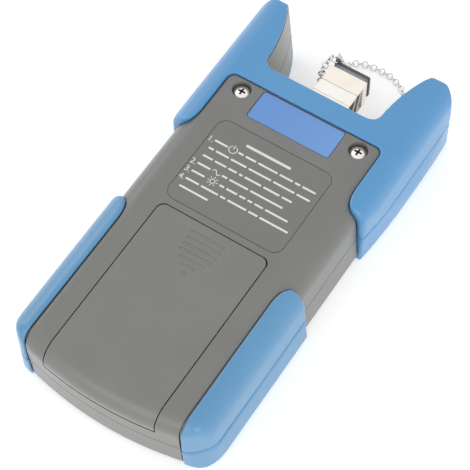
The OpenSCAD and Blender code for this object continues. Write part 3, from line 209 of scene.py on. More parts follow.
# %% [markdown]
# ## The shadow under the door
# The door ends on the rounded bottom end, and under its lower edge runs a gap that the light
# hardly gets into: in the photograph it is a crisp dark line. The ledge behind the gap gets a
# dark tone. It is picked out by place: just under the door's lower edge, no wider than the
# door, and only at the bottom end. Four comparisons are multiplied, so all must be true.

# %% Darken the ledge under the door
door_low, door_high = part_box("battery_door")
bottom_end = mid_y - 80 * mm
tree = shell_abs.node_tree
place = add_node(tree, "ShaderNodeTexCoord").outputs["Object"]
apart = add_node(tree, "ShaderNodeSeparateXYZ", {"Vector": place})
across = add_node(tree, "ShaderNodeMath", {0: apart.outputs["X"]}, operation="ABSOLUTE")
tests = [(apart.outputs["Z"], door_low.z - 0.86 * mm, "GREATER_THAN"),
         (apart.outputs["Z"], door_low.z + 0.1 * mm, "LESS_THAN"),
         (apart.outputs["Y"], bottom_end, "LESS_THAN"),
         (across.outputs["Value"], door_high.x + 0.3 * mm, "LESS_THAN")]
inside = 1.0
for value, limit, rule in tests:
    found = add_node(tree, "ShaderNodeMath", {0: value, 1: limit}, operation=rule)
    inside = add_node(tree, "ShaderNodeMath", {0: inside, 1: found.outputs["Value"]},
                      operation="MULTIPLY").outputs["Value"]
repaint(shell_abs, inside, "#1C1C1B", mix_at_1)
print("door's lower edge at z =", round(door_low.z / mm, 2), "mm")

# %% [markdown]
# ## Metals
# Screws are bright nickel, the connector is nickel over a zinc casting and reads as warm
# cream, springs are bare steel wire, and the chain is nickelled steel. A metal keeps the
# shader's own reflection and gets its look from colour and roughness alone. Rolled and plated
# parts carry a fine haze of scratches, which the same grain gives.

# %% Metals
def metal(name, dark, light, roughness, grain, bump, drift):
    return grained(name, dark, light, roughness, 1.0, grain, bump, drift)


screw_nickel = metal("screw_nickel", "#ECE8E2", "#F7F4EF", 0.28, 0.3, 0.05, 2.0)
screw_nickel_painted_shade = metal("cover_screw_nickel_painted_shade", "#ECE8E2", "#F7F4EF", 0.28, 0.3, 0.05, 2.0)
cream_nickel = metal("connector_nickel", "#F6F0E8", "#FBF8F4", 0.34, 0.5, 0.04, 6.0)
warm_nickel = metal("mouth_nickel", "#F6EDE2", "#FAF3EA", 0.34, 0.5, 0.04, 6.0)
contact_nickel = metal("contact_nickel", "#BDB8AE", "#D2CDC3", 0.3, 0.4, 0.05, 4.0)
spring_steel = metal("spring_steel", "#A9A7A3", "#C2C0BB", 0.28, 0.3, 0.05, 2.0)
chain_steel = metal("chain_steel", "#D9D8D6", "#E9E8E6", 0.22, 0.2, 0.05, 1.0)
can_gold = metal("can_gold", "#C9A45C", "#DDBB73", 0.28, 0.3, 0.04, 2.0)
clip_steel = metal("clip_steel", "#B4B1AB", "#C9C6C0", 0.3, 0.3, 0.05, 3.0)
print("brightest metal:", cream_nickel.name)

# %% [markdown]
# ## Painted shade in the screws
# Hardly any light gets to the bottom of a cross recess, so shade is painted there. The head is
# a low dome, so a point's distance from the middle of that dome's sphere tells how far it
# lies under the skin: the painted shade gets darker with that depth, and also darkens the sides
# of the head below the dome. The two screws mirror each other in x, so the absolute value of x
# serves both.

# %% Painted shade on the cover screws
head_radius, dome_radius = 3.05 * mm, 6 * mm
bright_depth, dark_depth = 0.3 * mm, 0.9 * mm
low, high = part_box("case_screws")
dome = (high.x - head_radius, (low.y + high.y) / 2, high.z - dome_radius)
tree = screw_nickel_painted_shade.node_tree
place = add_node(tree, "ShaderNodeTexCoord").outputs["Object"]
apart = add_node(tree, "ShaderNodeSeparateXYZ", {"Vector": place})
across = add_node(tree, "ShaderNodeMath", {0: apart.outputs["X"]}, operation="ABSOLUTE")
folded = add_node(tree, "ShaderNodeCombineXYZ",
                  {"X": across.outputs["Value"], "Y": apart.outputs["Y"],
                   "Z": apart.outputs["Z"]})
reach = add_node(tree, "ShaderNodeVectorMath", {0: folded.outputs["Vector"], 1: dome},
                 operation="DISTANCE")
bright = add_node(tree, "ShaderNodeMapRange",
                  {"Value": reach.outputs["Value"], "From Min": dome_radius - dark_depth,
                   "From Max": dome_radius - bright_depth})
# Painted shade: deep in the cross and down the sides of the head, the nickel turns dark.
repaint(screw_nickel_painted_shade, bright.outputs["Result"], "#2E2B27", mix_at_0)
print("dome middle in mm:", [round(v / mm, 2) for v in dome])

# %% [markdown]
# ## Plastics inside and out
# The connector's liner is mid grey plastic, the keys are silicone rubber, the overlay round
# them is a printed film, and the ferrule sleeve is white zirconia, which is hard, smooth and
# faintly glossy.

# %% Plastics
liner_grey = grained("liner_grey", "#6A6B6E", "#74757A", 0.5, bump=0.06)
ceramic = grained("zirconia", "#EEECE6", "#F6F5F0", 0.18, bump=0.02)
key_rubber = grained("key_silicone", "#3E6FA8", "#4778B0", 0.55, bump=0.1)
web_rubber = grained("web_silicone", "#7C7E82", "#86888C", 0.6, bump=0.1)
overlay_film = grained("overlay_film", "#7C7E82", "#86888C", 0.6, bump=0.1)
frame_black = grained("frame_black", "#161718", "#202122", 0.5, bump=0.06)
chip_black = grained("chip_epoxy", "#17181A", "#232427", 0.55, bump=0.12, drift=4.0)
light_white = grained("diffuser_white", "#EDEFEF", "#F7F8F8", 0.5, bump=0.03)
ink = grained("white_ink", "#E4E4E2", "#EFEFED", 0.55, bump=0.05, drift=4.0)
print("finishes so far:", len(bpy.data.materials))

# %% [markdown]
# ## The dust cap
# The cap is moulded in dark grey. Its collar is paler than its outer plate: the tone steps
# along y, just where the plate begins.

# %% Two tones on the cap
cap_grey = grained("cap_grey", "#595A5E", "#626367", 0.38, bump=0.08)
cap_plate_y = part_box("dust_cap")[1].y - 1.15 * mm
half_step = 0.1 * mm
tree = cap_grey.node_tree
place = add_node(tree, "ShaderNodeTexCoord").outputs["Object"]
apart = add_node(tree, "ShaderNodeSeparateXYZ", {"Vector": place})
on_plate = add_node(tree, "ShaderNodeMapRange",
                    {"Value": apart.outputs["Y"], "From Min": cap_plate_y - half_step,
                     "From Max": cap_plate_y + half_step})
repaint(cap_grey, on_plate.outputs["Result"], "#9D9EA2", mix_at_0)
print("cap's plate begins at y =", round(cap_plate_y / mm, 2), "mm")

# %% [markdown]
# ## The name plate
# The plate is a glossy film in a shallow pocket: a plain blue that grows a touch paler
# towards one end. The change follows x across the plate, with a soft wave so that it isn't a
# ruler-straight band.

# %% Name plate film
plate_film = new_finish("plate_film", 0.2)
tree = plate_film.node_tree
place = add_node(tree, "ShaderNodeTexCoord").outputs["Object"]
apart = add_node(tree, "ShaderNodeSeparateXYZ", {"Vector": place})
wave = add_node(tree, "ShaderNodeTexNoise", {"Vector": place, "Scale": 90.0, "Detail": 1.0})
lean = add_node(tree, "ShaderNodeMath", {0: wave.outputs["Fac"], 1: 6 * mm}, operation="MULTIPLY")
along = add_node(tree, "ShaderNodeMath",
                 {0: apart.outputs["X"], 1: lean.outputs["Value"]}, operation="ADD")
fade = add_node(tree, "ShaderNodeMapRange",
                {"Value": along.outputs["Value"], "From Min": -4 * mm, "From Max": 21 * mm})
ramp = add_node(tree, "ShaderNodeValToRGB", {"Fac": fade.outputs["Result"]})
ramp.color_ramp.elements[0].color = linear("#6798DB")
ramp.color_ramp.elements[1].color = linear("#72A2E1")
feed(plate_film, ramp.outputs["Color"], "Base Color")
shader_of(plate_film).inputs["Coat Weight"].default_value = 0.3
shader_of(plate_film).inputs["Coat Roughness"].default_value = 0.1
print("plate's width in mm:", round((plate_high.x - plate_low.x) / mm, 1))

# %% [markdown]
# ## Circuit board
# Solder mask is a green lacquer over copper tracks, which show through as slightly lighter
# lines. A brick pattern with long bricks stands in for the runs of tracks, 1.2 mm apart.

# %% Circuit board lacquer
board_green = new_finish("solder_mask", 0.3)
tree = board_green.node_tree
place = add_node(tree, "ShaderNodeTexCoord").outputs["Object"]
tracks = add_node(tree, "ShaderNodeTexBrick",
                  {"Vector": place, "Scale": 1 / (12 * mm), "Mortar Size": 0.012,
                   "Brick Width": 0.9, "Row Height": 0.1,
                   "Color1": linear("#1E6B3A"), "Color2": linear("#226F3E"),
                   "Mortar": linear("#2E8A50")})
lift = add_node(tree, "ShaderNodeBump", {"Height": tracks.outputs["Fac"], "Strength": 0.2,
                                         "Distance": 0.05 * mm})
feed(board_green, tracks.outputs["Color"], "Base Color")
feed(board_green, lift.outputs["Normal"], "Normal")
print("nodes in the lacquer:", len(tree.nodes))

# %% [markdown]
# ## The display
# The window is a clear acrylic sheet that lets light through, and the display behind it is
# glass over a grey-green reflector, with a glossy coat. So a look at the front shows depth
# and not a painted rectangle.

# %% Window and glass
window_clear = new_finish("clear_acrylic", 0.05)
shader_of(window_clear).inputs["Base Color"].default_value = linear("#F2F6F6")
shader_of(window_clear).inputs["Transmission Weight"].default_value = 1.0
tree = window_clear.node_tree
place = add_node(tree, "ShaderNodeTexCoord").outputs["Object"]
haze = add_node(tree, "ShaderNodeTexNoise", {"Vector": place, "Scale": 1 / (6 * mm), "Detail": 2.0})
dull = add_node(tree, "ShaderNodeMapRange",
                {"Value": haze.outputs["Fac"], "To Min": 0.02, "To Max": 0.1})
feed(window_clear, dull.outputs["Result"], "Roughness")
lcd_grey = grained("lcd_reflector", "#8C9A8A", "#95A392", 0.35, bump=0.03, grain=0.3)
shader_of(lcd_grey).inputs["Coat Weight"].default_value = 0.6
print("display finishes:", window_clear.name, lcd_grey.name)

# %% [markdown]
# ## Battery cells
# Each cell is a steel can in a shrunk plastic sleeve. The can shows at both ends, and the
# sleeve has a dark body and one plain band. The bands are set by y, which runs along the
# cells; the middle cell is turned round, so its band sits at the other end.

# %% Battery sleeve
can, body_tone, band_tone = "#C9C7C2", "#2B2C2F", "#B9763A"
sleeve_start, band_start, sleeve_end = 0.03, 0.68, 0.955


def sleeve(name, low, high):
    finish = new_finish(name, 0.3)
    tree = finish.node_tree
    place = add_node(tree, "ShaderNodeTexCoord").outputs["Object"]
    apart = add_node(tree, "ShaderNodeSeparateXYZ", {"Vector": place})
    span = add_node(tree, "ShaderNodeMapRange",
                    {"Value": apart.outputs["Y"], "From Min": low, "From Max": high})
    looks = {"Base Color": [linear(can), (sleeve_start, linear(body_tone)),
                            (band_start, linear(band_tone)), (sleeve_end, linear(can))],
             "Metallic": [(1, 1, 1, 1), (sleeve_start, (0, 0, 0, 1)),
                          (sleeve_end, (1, 1, 1, 1))]}
    for socket, (first, *stops) in looks.items():
        bands = add_node(tree, "ShaderNodeValToRGB", {"Fac": span.outputs["Result"]})
        bands.color_ramp.interpolation = "CONSTANT"
        bands.color_ramp.elements[0].color = first
        bands.color_ramp.elements.remove(bands.color_ramp.elements[1])
        for at, colour in stops:
            bands.color_ramp.elements.new(at).color = colour
        feed(finish, bands.outputs["Color"], socket)
    return finish


cells = {}
for node in ("cell_left", "cell_middle", "cell_right"):
    low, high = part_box(node)[0].y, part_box(node)[1].y
    if node == "cell_middle":
        low, high = high, low
    cells[node] = sleeve("sleeve_" + node, low, high)
print("battery sleeves:", len(cells))

# %% [markdown]
# ## Parts that keep their CAD shape
# Small hard parts are already right, so each only gets its finish in the material slots of
# its own object.

# %% Give the CAD parts their finishes
finishes = {
    "door_foam_pad": foam, "battery_contacts": contact_nickel, "main_board": board_green,
    "board_chips": chip_black, "buzzer": frame_black, "board_screws": screw_nickel,
    "lcd_window": window_clear, "lcd_frame": frame_black, "lcd_glass": lcd_grey,
    "backlight_panel": light_white, "keypad_web": web_rubber, "connector_liner": liner_grey,
    "ferrule_sleeve": ceramic, "connector_clips": clip_steel, "flange_screws": screw_nickel,
    "detector_can": can_gold, "detector_ring": frame_black, "detector_board": board_green,
    "cap_ring": chain_steel, **cells}
for node, finish in finishes.items():
    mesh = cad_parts[node].data
    mesh.materials.clear()
    mesh.materials.append(finish)
print("CAD parts dressed:", len(finishes))

# %% [markdown]
# ## Working on a copy
# To soften a CAD part, its mesh is copied, because the part itself must stay as it is. A CAD
# mesh is loose triangles, so the copy's doubled points are merged first, and its flat faces
# are cleaned of the lines that cut them into triangles. Most pieces then ride on the same body
# as their part and stand in for it.

# %% Copy a CAD part and put the piece in its place
def only(piece):
    bpy.ops.object.select_all(action="DESELECT")
    piece.select_set(True)
    bpy.context.view_layer.objects.active = piece


def copy_of(node, name, clean=True):
    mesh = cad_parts[node].data.copy()
    mesh.name = name
    piece = bpy.data.objects.new(name, mesh)
    bpy.context.collection.objects.link(piece)
    only(piece)
    if mesh.has_custom_normals:
        bpy.ops.mesh.customdata_custom_splitnormals_clear()
    bpy.ops.object.mode_set(mode="EDIT")
    bpy.ops.mesh.select_all(action="SELECT")
    bpy.ops.mesh.remove_doubles(threshold=0.002 * mm)
    if clean:
        bpy.ops.mesh.dissolve_limited(angle_limit=math.radians(0.6))
    bpy.ops.object.mode_set(mode="OBJECT")
    return piece


def dressed(piece, finish):
    piece.data.materials.clear()
    piece.data.materials.append(finish)


def stands_for(piece, body, finish, node):
    dressed(piece, finish)
    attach(piece, body)
    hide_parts(node)


# %% [markdown]
# ## Softened edges
# No moulded or plated edge is truly sharp: a radius of a tenth or two of a millimetre catches
# the light and makes the part believable. The Bevel modifier rounds only edges that are
# sharper than 35 degrees, so the long curves stay as they are. Weighted normals then keep
# the big flat faces flat.

# %% Round the edges of a copy
def softened(node, name, width, segments=2):
    piece = copy_of(node, name)
    bevel = piece.modifiers.new("edge", "BEVEL")
    bevel.width = width
    bevel.segments = segments
    bevel.limit_method = "ANGLE"
    bevel.angle_limit = math.radians(35)
    bpy.ops.object.modifier_apply(modifier=bevel.name)
    bpy.ops.object.shade_smooth_by_angle(angle=math.radians(40))
    even = piece.modifiers.new("even", "WEIGHTED_NORMAL")
    even.keep_sharp = True
    bpy.ops.object.modifier_apply(modifier=even.name)
    print(name, "faces:", len(piece.data.polygons))
    return piece


# %% Round the case, the plates, the connector and the cap
label_edge, film_edge, case_edge, casting_edge = 0.06 * mm, 0.08 * mm, 0.12 * mm, 0.2 * mm
rounded_parts = [
    ("rear_shell", "rear_case", case_edge, "case", shell_abs, "shell_abs"),
    ("front_shell", "front_case", case_edge, "case", shell_abs, "shell_abs"),
    ("battery_door", "sliding_door", case_edge, "door", door_abs, "door_abs"),
    ("name_plate", "plate", film_edge, "case", plate_film, "plate_blue"),
    ("instruction_label", "label", label_edge, "case", label_grey, "label_film"),
    ("case_screws", "cover_screws", case_edge, "case", screw_nickel_painted_shade, "screw_steel"),
    ("connector_base", "connector_body", casting_edge, "case", cream_nickel,
     "connector_nickel"),
    ("connector_front", "connector_mouth", casting_edge, "case", warm_nickel,
     "connector_nickel"),
    ("dust_cap", "end_cap", casting_edge, "cap", cap_grey, "cap_grey"),
    ("front_overlay", "front_film", film_edge, "case", overlay_film, "overlay_grey")]
for node, name, edge, body, finish, slot_name in rounded_parts:
    stands_for(softened(node, name, edge), body, finish, node)

# %% Round the keys
keys = ("power", "wavelength", "backlight", "mode")
key_edge = 0.35 * mm
for key in keys:
    stands_for(softened("key_" + key, key + "_button", key_edge, segments=3), key + "_key",
               key_rubber, "key_" + key)

# %% [markdown]
# ## Soft guards and grips
# The blue guards are thick rubber with fat, rounded edges. The CAD solids have the right
# outline but sharp borders. Remeshing a copy in small cubes of 0.5 mm lets every edge be
# rounded at once: smoothing then melts the edges by about a millimetre. The points at the
# joint between the front and the back half are held back, so that the joint stays a fine line.
# The outer lower corners of the back pads and the tips of the back guard's arms are rounder
# than the other edges, so the points there are smoothed once more, many times over.

# %% Smooth the points that a weight picks
parting_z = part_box("rear_shell")[0].z


def clamp(value, least=0.0):
    return min(1.0, max(least, value))


def smooth_by_weight(piece, name, weight, passes):
    group = piece.vertex_groups.new(name=name)
    for vertex in piece.data.vertices:
        group.add([vertex.index], weight(vertex.co), "REPLACE")
    smooth = piece.modifiers.new(name, "SMOOTH")
    smooth.factor = 0.5
    smooth.iterations = passes
    smooth.vertex_group = name
    bpy.ops.object.modifier_apply(modifier=smooth.name)


def off_the_joint(point):
    gap = abs(point.z - parting_z)
    return clamp((gap - 0.2 * mm) / (1.2 * mm), least=0.15)


# %% Where the rubber is rounder
# Each spot gives the y and the x at which the extra rounding starts and is full, and its
# number of passes.
grip_spot = (mid_y - 48 * mm, mid_y - 68 * mm, 30 * mm, 41 * mm, 80)
arm_spot = (mid_y + 34 * mm, mid_y + 22 * mm, 37 * mm, 41 * mm, 60)
rounder_spots = {"rear_left_grip": grip_spot, "rear_right_grip": grip_spot,
                 "rear_top_guard": arm_spot}


def in_the_spot(point, y_start, y_full, x_start, x_full):
    down = (y_start - point.y) / (y_start - y_full)
    out = (abs(point.x) - x_start) / (x_full - x_start)
    rise = (point.z - parting_z - 1.5 * mm) / (5 * mm)
    return clamp(down) * clamp(out) * clamp(rise)


print("rounder spots:", len(rounder_spots))

# %% Melt the edges of the rubber
cube = 0.5 * mm
triangle_budget = 60000


def melted(node, name, passes):
    piece = copy_of(node, name, clean=False)
    remesh = piece.modifiers.new("cubes", "REMESH")
    remesh.mode = "VOXEL"
    remesh.voxel_size = cube
    bpy.ops.object.modifier_apply(modifier=remesh.name)
    smooth_by_weight(piece, "free", off_the_joint, passes)
    if node in rounder_spots:
        *edges, rounds = rounder_spots[node]
        smooth_by_weight(piece, "corner", lambda point: in_the_spot(point, *edges), rounds)
    lighter = piece.modifiers.new("lighter", "DECIMATE")
    lighter.ratio = min(1.0, triangle_budget / (2 * len(piece.data.polygons)))
    bpy.ops.object.modifier_apply(modifier=lighter.name)
    bpy.ops.object.shade_smooth_by_angle(angle=math.radians(50))
    print(name, "triangles:", len(piece.data.polygons))
    return piece


# %% Make the guards and pads
guards = {"rear_top_guard": "back_guard", "front_top_guard": "front_guard"}
pads = {"rear_left_grip": "back_left_pad", "rear_right_grip": "back_right_pad",
        "front_left_grip": "front_left_pad", "front_right_grip": "front_right_pad"}
for parts, finish, passes in ((guards, rubber, 12), (pads, pad_rubber, 28)):
    for node, name in parts.items():
        stands_for(melted(node, name, passes), "case", finish, node)

# %% [markdown]
# ## Battery springs
# A battery spring is a cone of wire that starts flat. A curve that winds round while it
# climbs, with a round section, gives clean wire. It is turned into a mesh before it is
# placed, and made once for each cell.

# %% Wind the springs
turns, steps = 4, 24
wire = 0.4 * mm
wide, narrow = 4.2 * mm, 2.2 * mm


def wound_spring(name, length):
    bpy.ops.curve.primitive_nurbs_path_add()
    curve = bpy.context.object
    curve.name = name
    data = curve.data
    data.splines.clear()
    last = turns * steps
    spline = data.splines.new("POLY")
    spline.points.add(last)
    for i, point in enumerate(spline.points):
        share = i / last
        around = 2 * math.pi * turns * share
        radius = wide + (narrow - wide) * share
        height = wire + (length - 2 * wire) * clamp((share - 0.08) / 0.86)
        point.co = (radius * math.cos(around), height, radius * math.sin(around), 1)
    data.bevel_depth = wire
    data.bevel_resolution = 3
    data.use_fill_caps = True
    only(curve)
    bpy.ops.object.convert(target="MESH")
    bpy.ops.object.shade_smooth_by_angle(angle=math.radians(50))
    return bpy.context.object


# %% Set a spring at each cell
low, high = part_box("battery_springs")
cell_low, cell_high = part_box("cell_left")
length = cell_low.y - low.y - 0.09 * mm
cell_z = (cell_low.z + cell_high.z) / 2
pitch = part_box("cell_right")[0].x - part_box("cell_middle")[0].x
half_turn = Matrix.Rotation(math.pi, 4, "Z")
places = [Matrix.Translation((-pitch, low.y, cell_z)),
          Matrix.Translation((0, high.y, cell_z)) @ half_turn,
          Matrix.Translation((pitch, low.y, cell_z))]
coils = []
for i, place in enumerate(places):
    coil = wound_spring("coil_%d" % i, length)
    coil.data.transform(place)
    coils.append(coil)
only(coils[0])
for coil in coils:
    coil.select_set(True)
bpy.ops.object.join()
springs = bpy.context.object
springs.name = "wound_springs"
stands_for(springs, "case", spring_steel, "battery_springs")
print("spring faces:", len(springs.data.polygons))

# %% [markdown]
# ## The chain
# The chain ties the dust cap to the neck of the connector, and gives when the cap is pulled
# off. Its links are right in the CAD model, so the piece is a smooth copy of them.

# %% A smooth copy of the chain
chain = copy_of("cap_chain", "fine_chain", clean=False)
bpy.ops.object.shade_smooth_by_angle(angle=math.radians(60))
dressed(chain, chain_steel)
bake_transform(chain)
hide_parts("cap_chain")
print("chain faces:", len(chain.data.polygons))

# %% [markdown]
# ## Printed marks
# The label is printed in white, with rows of plain dashes, line numbers and three plain
# symbols: power, wave and light. Ink is a film, so each mark is a very thin solid that lies on
# the label. One dash is modelled, and the others are copies whose ends are moved apart.

# %% Model one dash
ink_height = 0.03 * mm
dash_width = 0.8 * mm
bpy.ops.object.select_all(action="DESELECT")
bpy.ops.mesh.primitive_plane_add(size=1.0)
dash = bpy.context.object
dash.name = "dash"
dash.scale = (dash_width, dash_width, 1)
bpy.ops.object.transform_apply(location=False, rotation=False, scale=True)
bpy.ops.object.mode_set(mode="EDIT")
bpy.ops.mesh.select_all(action="SELECT")
bpy.ops.mesh.bevel(offset=0.3 * mm, segments=3, affect="VERTICES")
bpy.ops.mesh.select_all(action="SELECT")
bpy.ops.mesh.extrude_region_move(TRANSFORM_OT_translate={"value": (0, 0, ink_height)})
bpy.ops.mesh.select_all(action="SELECT")
bpy.ops.mesh.normals_make_consistent(inside=False)
bpy.ops.object.mode_set(mode="OBJECT")
print("dash faces:", len(dash.data.polygons))


# %% Copy a mark to its place
def placed_dash(x0, x1, y, z, thick=1.0):
    mesh = dash.data.copy()
    reach = (x1 - x0) / 2 - dash_width / 2 * thick
    for vertex in mesh.vertices:
        vertex.co.x = vertex.co.x * thick + math.copysign(max(reach, 0), vertex.co.x)
        vertex.co.y *= thick
    mesh.transform(Matrix.Translation(((x0 + x1) / 2, y, z)))
    mark = bpy.data.objects.new("mark", mesh)
    bpy.context.collection.objects.link(mark)
    return mark


def written(text, size, x, y, z):
    bpy.ops.object.select_all(action="DESELECT")
    bpy.ops.object.text_add()
    mark = bpy.context.object
    mark.data.body = text
    mark.data.size = size
    mark.data.extrude = ink_height / 2
    mark.data.resolution_u = 4
    bpy.ops.object.convert(target="MESH")
    mark = bpy.context.object
    mark.data.transform(Matrix.Translation((x, y, z + ink_height / 2)))
    return mark


# %% [markdown]
# ## Three symbols
# The power symbol is an open ring with a bar, the wave is one turn of a sine, and the light
# is a ring with eight rays. Each line is drawn as a round wire and pressed nearly flat. A
# symbol's shape is given for a size of 1 and is scaled as it is drawn.

# %% Draw a line and an arc
def drawn(points, closed, width, centre, z, size):
    bpy.ops.curve.primitive_nurbs_path_add()
    line = bpy.context.object
    line.data.splines.clear()
    spline = line.data.splines.new("POLY")
    spline.points.add(len(points) - 1)
    for point, (x, y) in zip(spline.points, points):
        point.co = (x * size, y * size, 0, 1)
    spline.use_cyclic_u = closed
    line.data.bevel_depth = width / 2
    line.data.bevel_resolution = 2
    line.data.use_fill_caps = True
    only(line)
    bpy.ops.object.convert(target="MESH")
    line = bpy.context.object
    flat = Matrix.Diagonal((1, 1, ink_height / width, 1))
    line.data.transform(Matrix.Translation((centre[0], centre[1], z + ink_height / 2)) @ flat)
    return line


def arc(start, stop, radius, steps):
    angles = [math.radians(start + (stop - start) * i / steps) for i in range(steps + 1)]
    return [(radius * math.cos(a), radius * math.sin(a)) for a in angles]


# %% Model the symbols
def power_symbol(centre, z, size, width):
    return [drawn(arc(120, 420, 0.5, 30), False, width, centre, z, size),
            drawn([(0, 0.08), (0, 0.62)], False, width, centre, z, size)]


def wave_symbol(centre, z, size, width):
    wave = [(-0.6 + 1.2 * i / 24, 0.32 * math.sin(2 * math.pi * i / 24)) for i in range(25)]
    return [drawn(wave, False, width, centre, z, size)]


def light_symbol(centre, z, size, width):
    marks = [drawn(arc(0, 345, 0.27, 23), True, width, centre, z, size)]
    for i in range(8):
        x, y = math.cos(math.radians(45 * i)), math.sin(math.radians(45 * i))
        ray = [(0.42 * x, 0.42 * y), (0.62 * x, 0.62 * y)]
        marks.append(drawn(ray, False, width, centre, z, size))
    return marks


# %% [markdown]
# ## Set out the label
# Each row is a list of dash lengths in mm, stretched to fill the room from its start to its
# stop, with gaps of one letter between them. The lines are 3.85 mm apart, under a bolder
# heading, and four of them start with a number.

# %% Set the lines of the label
letter_gap = 0.9
line_pitch, first_line = 3.85, 19.9
label_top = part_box("instruction_label")[1].z


def line_y(line):
    return first_line - line_pitch * line


def row(start, stop, y, words, thick=1.0):
    share = (stop - start - letter_gap * (len(words) - 1)) / sum(words)
    x, marks = start, []
    for word in words:
        end = x + word * share
        marks.append(placed_dash(x * mm, end * mm, mid_y + y * mm, label_top, thick))
        x = end + letter_gap
    return marks


label_rows = [
    (-21.2, -15.6, 0, [5]), (-11.0, 22.0, 0, [2, 4, 7.4, 5, 2, 5]),
    (-21.4, 21.9, 1, [2, 5, 6, 8.6, 8, 5]),
    (-21.4, 16.7, 2, [4, 4.6, 3.4, 1.4, 6.6, 6.4, 4]),
    (-21.2, -15.6, 3, [5]), (-10.6, 15.2, 3, [2, 7, 12]),
    (-21.2, -15.6, 4, [5]), (-9.2, 19.8, 4, [2, 4.6, 2.6, 2, 3.6, 9.4]),
    (-21.2, 22.2, 5, [5, 6.4, 2, 7, 3.4, 10.4]), (-21.4, -9.2, 6, [10])]
marks = row(-10.2, 8.8, 24.1, [11], 1.35)
for start, stop, line, words in label_rows:
    marks += row(start, stop, line_y(line), words)
print("dashes:", len(marks))

# %% Add the line numbers and the symbols
numbered_lines = {"1.": 0, "2.": 3, "3.": 4, "4.": 5}
for text, line in numbered_lines.items():
    marks.append(written(text, 3.5 * mm, -24 * mm, mid_y + (line_y(line) - 1.25) * mm, label_top))
label_symbols = [(power_symbol, -13.3, 0, 3.2), (wave_symbol, -13.0, 3, 2.8),
                 (light_symbol, -12.2, 4, 3.4)]
for symbol, x, line, size in label_symbols:
    marks += symbol((x * mm, mid_y + line_y(line) * mm), label_top, size * mm, 0.35 * mm)
print("marks on the label:", len(marks))


# %% Join the marks into one print
def printed(marks, name, body):
    only(marks[0])
    for mark in marks:
        mark.select_set(True)
    bpy.ops.object.join()
    piece = bpy.context.object
    piece.name = name
    bpy.ops.object.mode_set(mode="EDIT")
    bpy.ops.mesh.select_all(action="SELECT")
    bpy.ops.mesh.normals_make_consistent(inside=False)
    bpy.ops.object.mode_set(mode="OBJECT")
    dressed(piece, ink)
    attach(piece, body)
    print(name, "faces:", len(piece.data.polygons))


printed(marks, "label_print", "case")

# %% [markdown]
# ## Marks on the keys
# The four keys are on the front, which faces the floor. Three carry the same symbols as the
# label, and the fourth gets two plain dashes. The ink lies under each key's outer face, and
# each print rides on its own key, so that it goes down with it.

# %% Print the keys
key_symbols = {"power": (power_symbol, 5 * mm), "wavelength": (wave_symbol, 5 * mm),
               "backlight": (light_symbol, 5.4 * mm)}
key_line, dash_reach, dash_rise = 0.5 * mm, 2.5 * mm, 1 * mm
for key in keys:
    low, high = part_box("key_" + key)
    x, y = (low.x + high.x) / 2, (low.y + high.y) / 2
    face = low.z - ink_height
    if key in key_symbols:
        symbol, size = key_symbols[key]
        marks = symbol((x, y), face, size, key_line)
    else:
        marks = [placed_dash(x - dash_reach, x + dash_reach, y + rise, face)
                 for rise in (-dash_rise, dash_rise)]
    printed(marks, key + "_print", key + "_key")
bpy.data.objects.remove(dash)

# %% [markdown]
# ## Light and floor
# The photograph was taken in a white tent: light comes from all round, a little more from the
# sides than from above. A pale world gives the even part, and broad lamps shape the edges.
# The floor is white paper. It adds a little light of its own for the camera, and for
# reflections, so that it reads as white while the soft shadow stays.

# %% Rays that see the background
def background_rays(tree):
    rays = add_node(tree, "ShaderNodeLightPath")
    seen = add_node(tree, "ShaderNodeMath", {0: rays.outputs["Is Camera Ray"],
                                             1: rays.outputs["Is Glossy Ray"]}, operation="ADD")
    clear = add_node(tree, "ShaderNodeMath", {0: seen.outputs["Value"],
                                              1: rays.outputs["Is Transmission Ray"]},
                     operation="ADD", use_clamp=True)
    return clear.outputs["Value"]


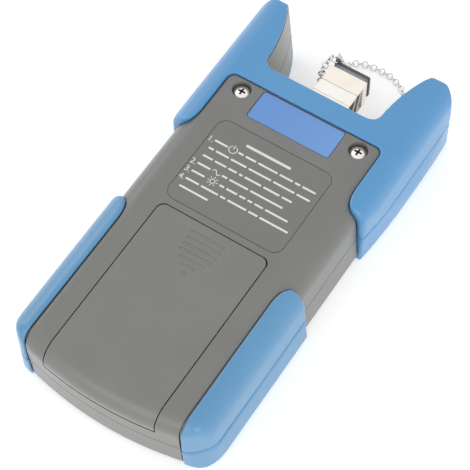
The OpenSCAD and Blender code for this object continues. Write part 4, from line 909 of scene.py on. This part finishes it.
# %% White floor
floor_glow = 0.42
bpy.ops.object.select_all(action="DESELECT")
bpy.ops.mesh.primitive_plane_add(size=6.0, location=(0, 0, 0))
floor = bpy.context.object
floor.name = "paper_floor"
paper = new_finish("white_paper", 0.9)
shader_of(paper).inputs["Base Color"].default_value = linear("#F4F4F4")
shader_of(paper).inputs["Emission Color"].default_value = (1, 1, 1, 1)
glow = add_node(paper.node_tree, "ShaderNodeMath",
                {0: background_rays(paper.node_tree), 1: floor_glow}, operation="MULTIPLY")
feed(paper, glow.outputs["Value"], "Emission Strength")
dressed(floor, paper)
print("floor in metres:", [round(v, 1) for v in floor.dimensions])

# %% The white tent
walls_level, top_level = 0.76, 0.6
world = bpy.data.worlds.new("white_tent")
bpy.context.scene.world = world
world.use_nodes = True
tree = world.node_tree
background = tree.nodes["Background"]
background.inputs["Color"].default_value = (1, 1, 1, 1)
sky = add_node(tree, "ShaderNodeSeparateXYZ",
               {"Vector": add_node(tree, "ShaderNodeTexCoord").outputs["Generated"]})
tent = add_node(tree, "ShaderNodeMapRange",
                {"Value": sky.outputs["Z"], "From Min": 0.1, "From Max": 0.7,
                 "To Min": walls_level, "To Max": top_level})
level = add_node(tree, "ShaderNodeMix", {"Factor": background_rays(tree),
                                         "A": tent.outputs["Result"], "B": 1.0})
tree.links.new(level.outputs["Result"], background.inputs["Strength"])
print("tent from", walls_level, "at its walls to", top_level, "at its top")

# %% Lamps
# Each lamp is a disc that faces the origin, given by its place in metres and its power in watts.
lamp_size = 0.8
lamps = {"right_lamp": ((0.95, -0.35, 0.5), 3.5), "left_lamp": ((-0.9, 0.1, 0.6), 2.4),
         "near_lamp": ((-0.1, -1.0, 0.5), 1.8)}
for name, (place, power) in lamps.items():
    bpy.ops.object.light_add(type="AREA", location=place)
    lamp = bpy.context.object
    lamp.name = name
    lamp.data.shape = "DISK"
    lamp.data.size = lamp_size
    lamp.data.energy = power
    lamp.rotation_euler = (-Vector(place)).to_track_quat("-Z", "Y").to_euler()
bpy.context.scene.view_settings.view_transform = "Standard"
print("lamps:", len(lamps))
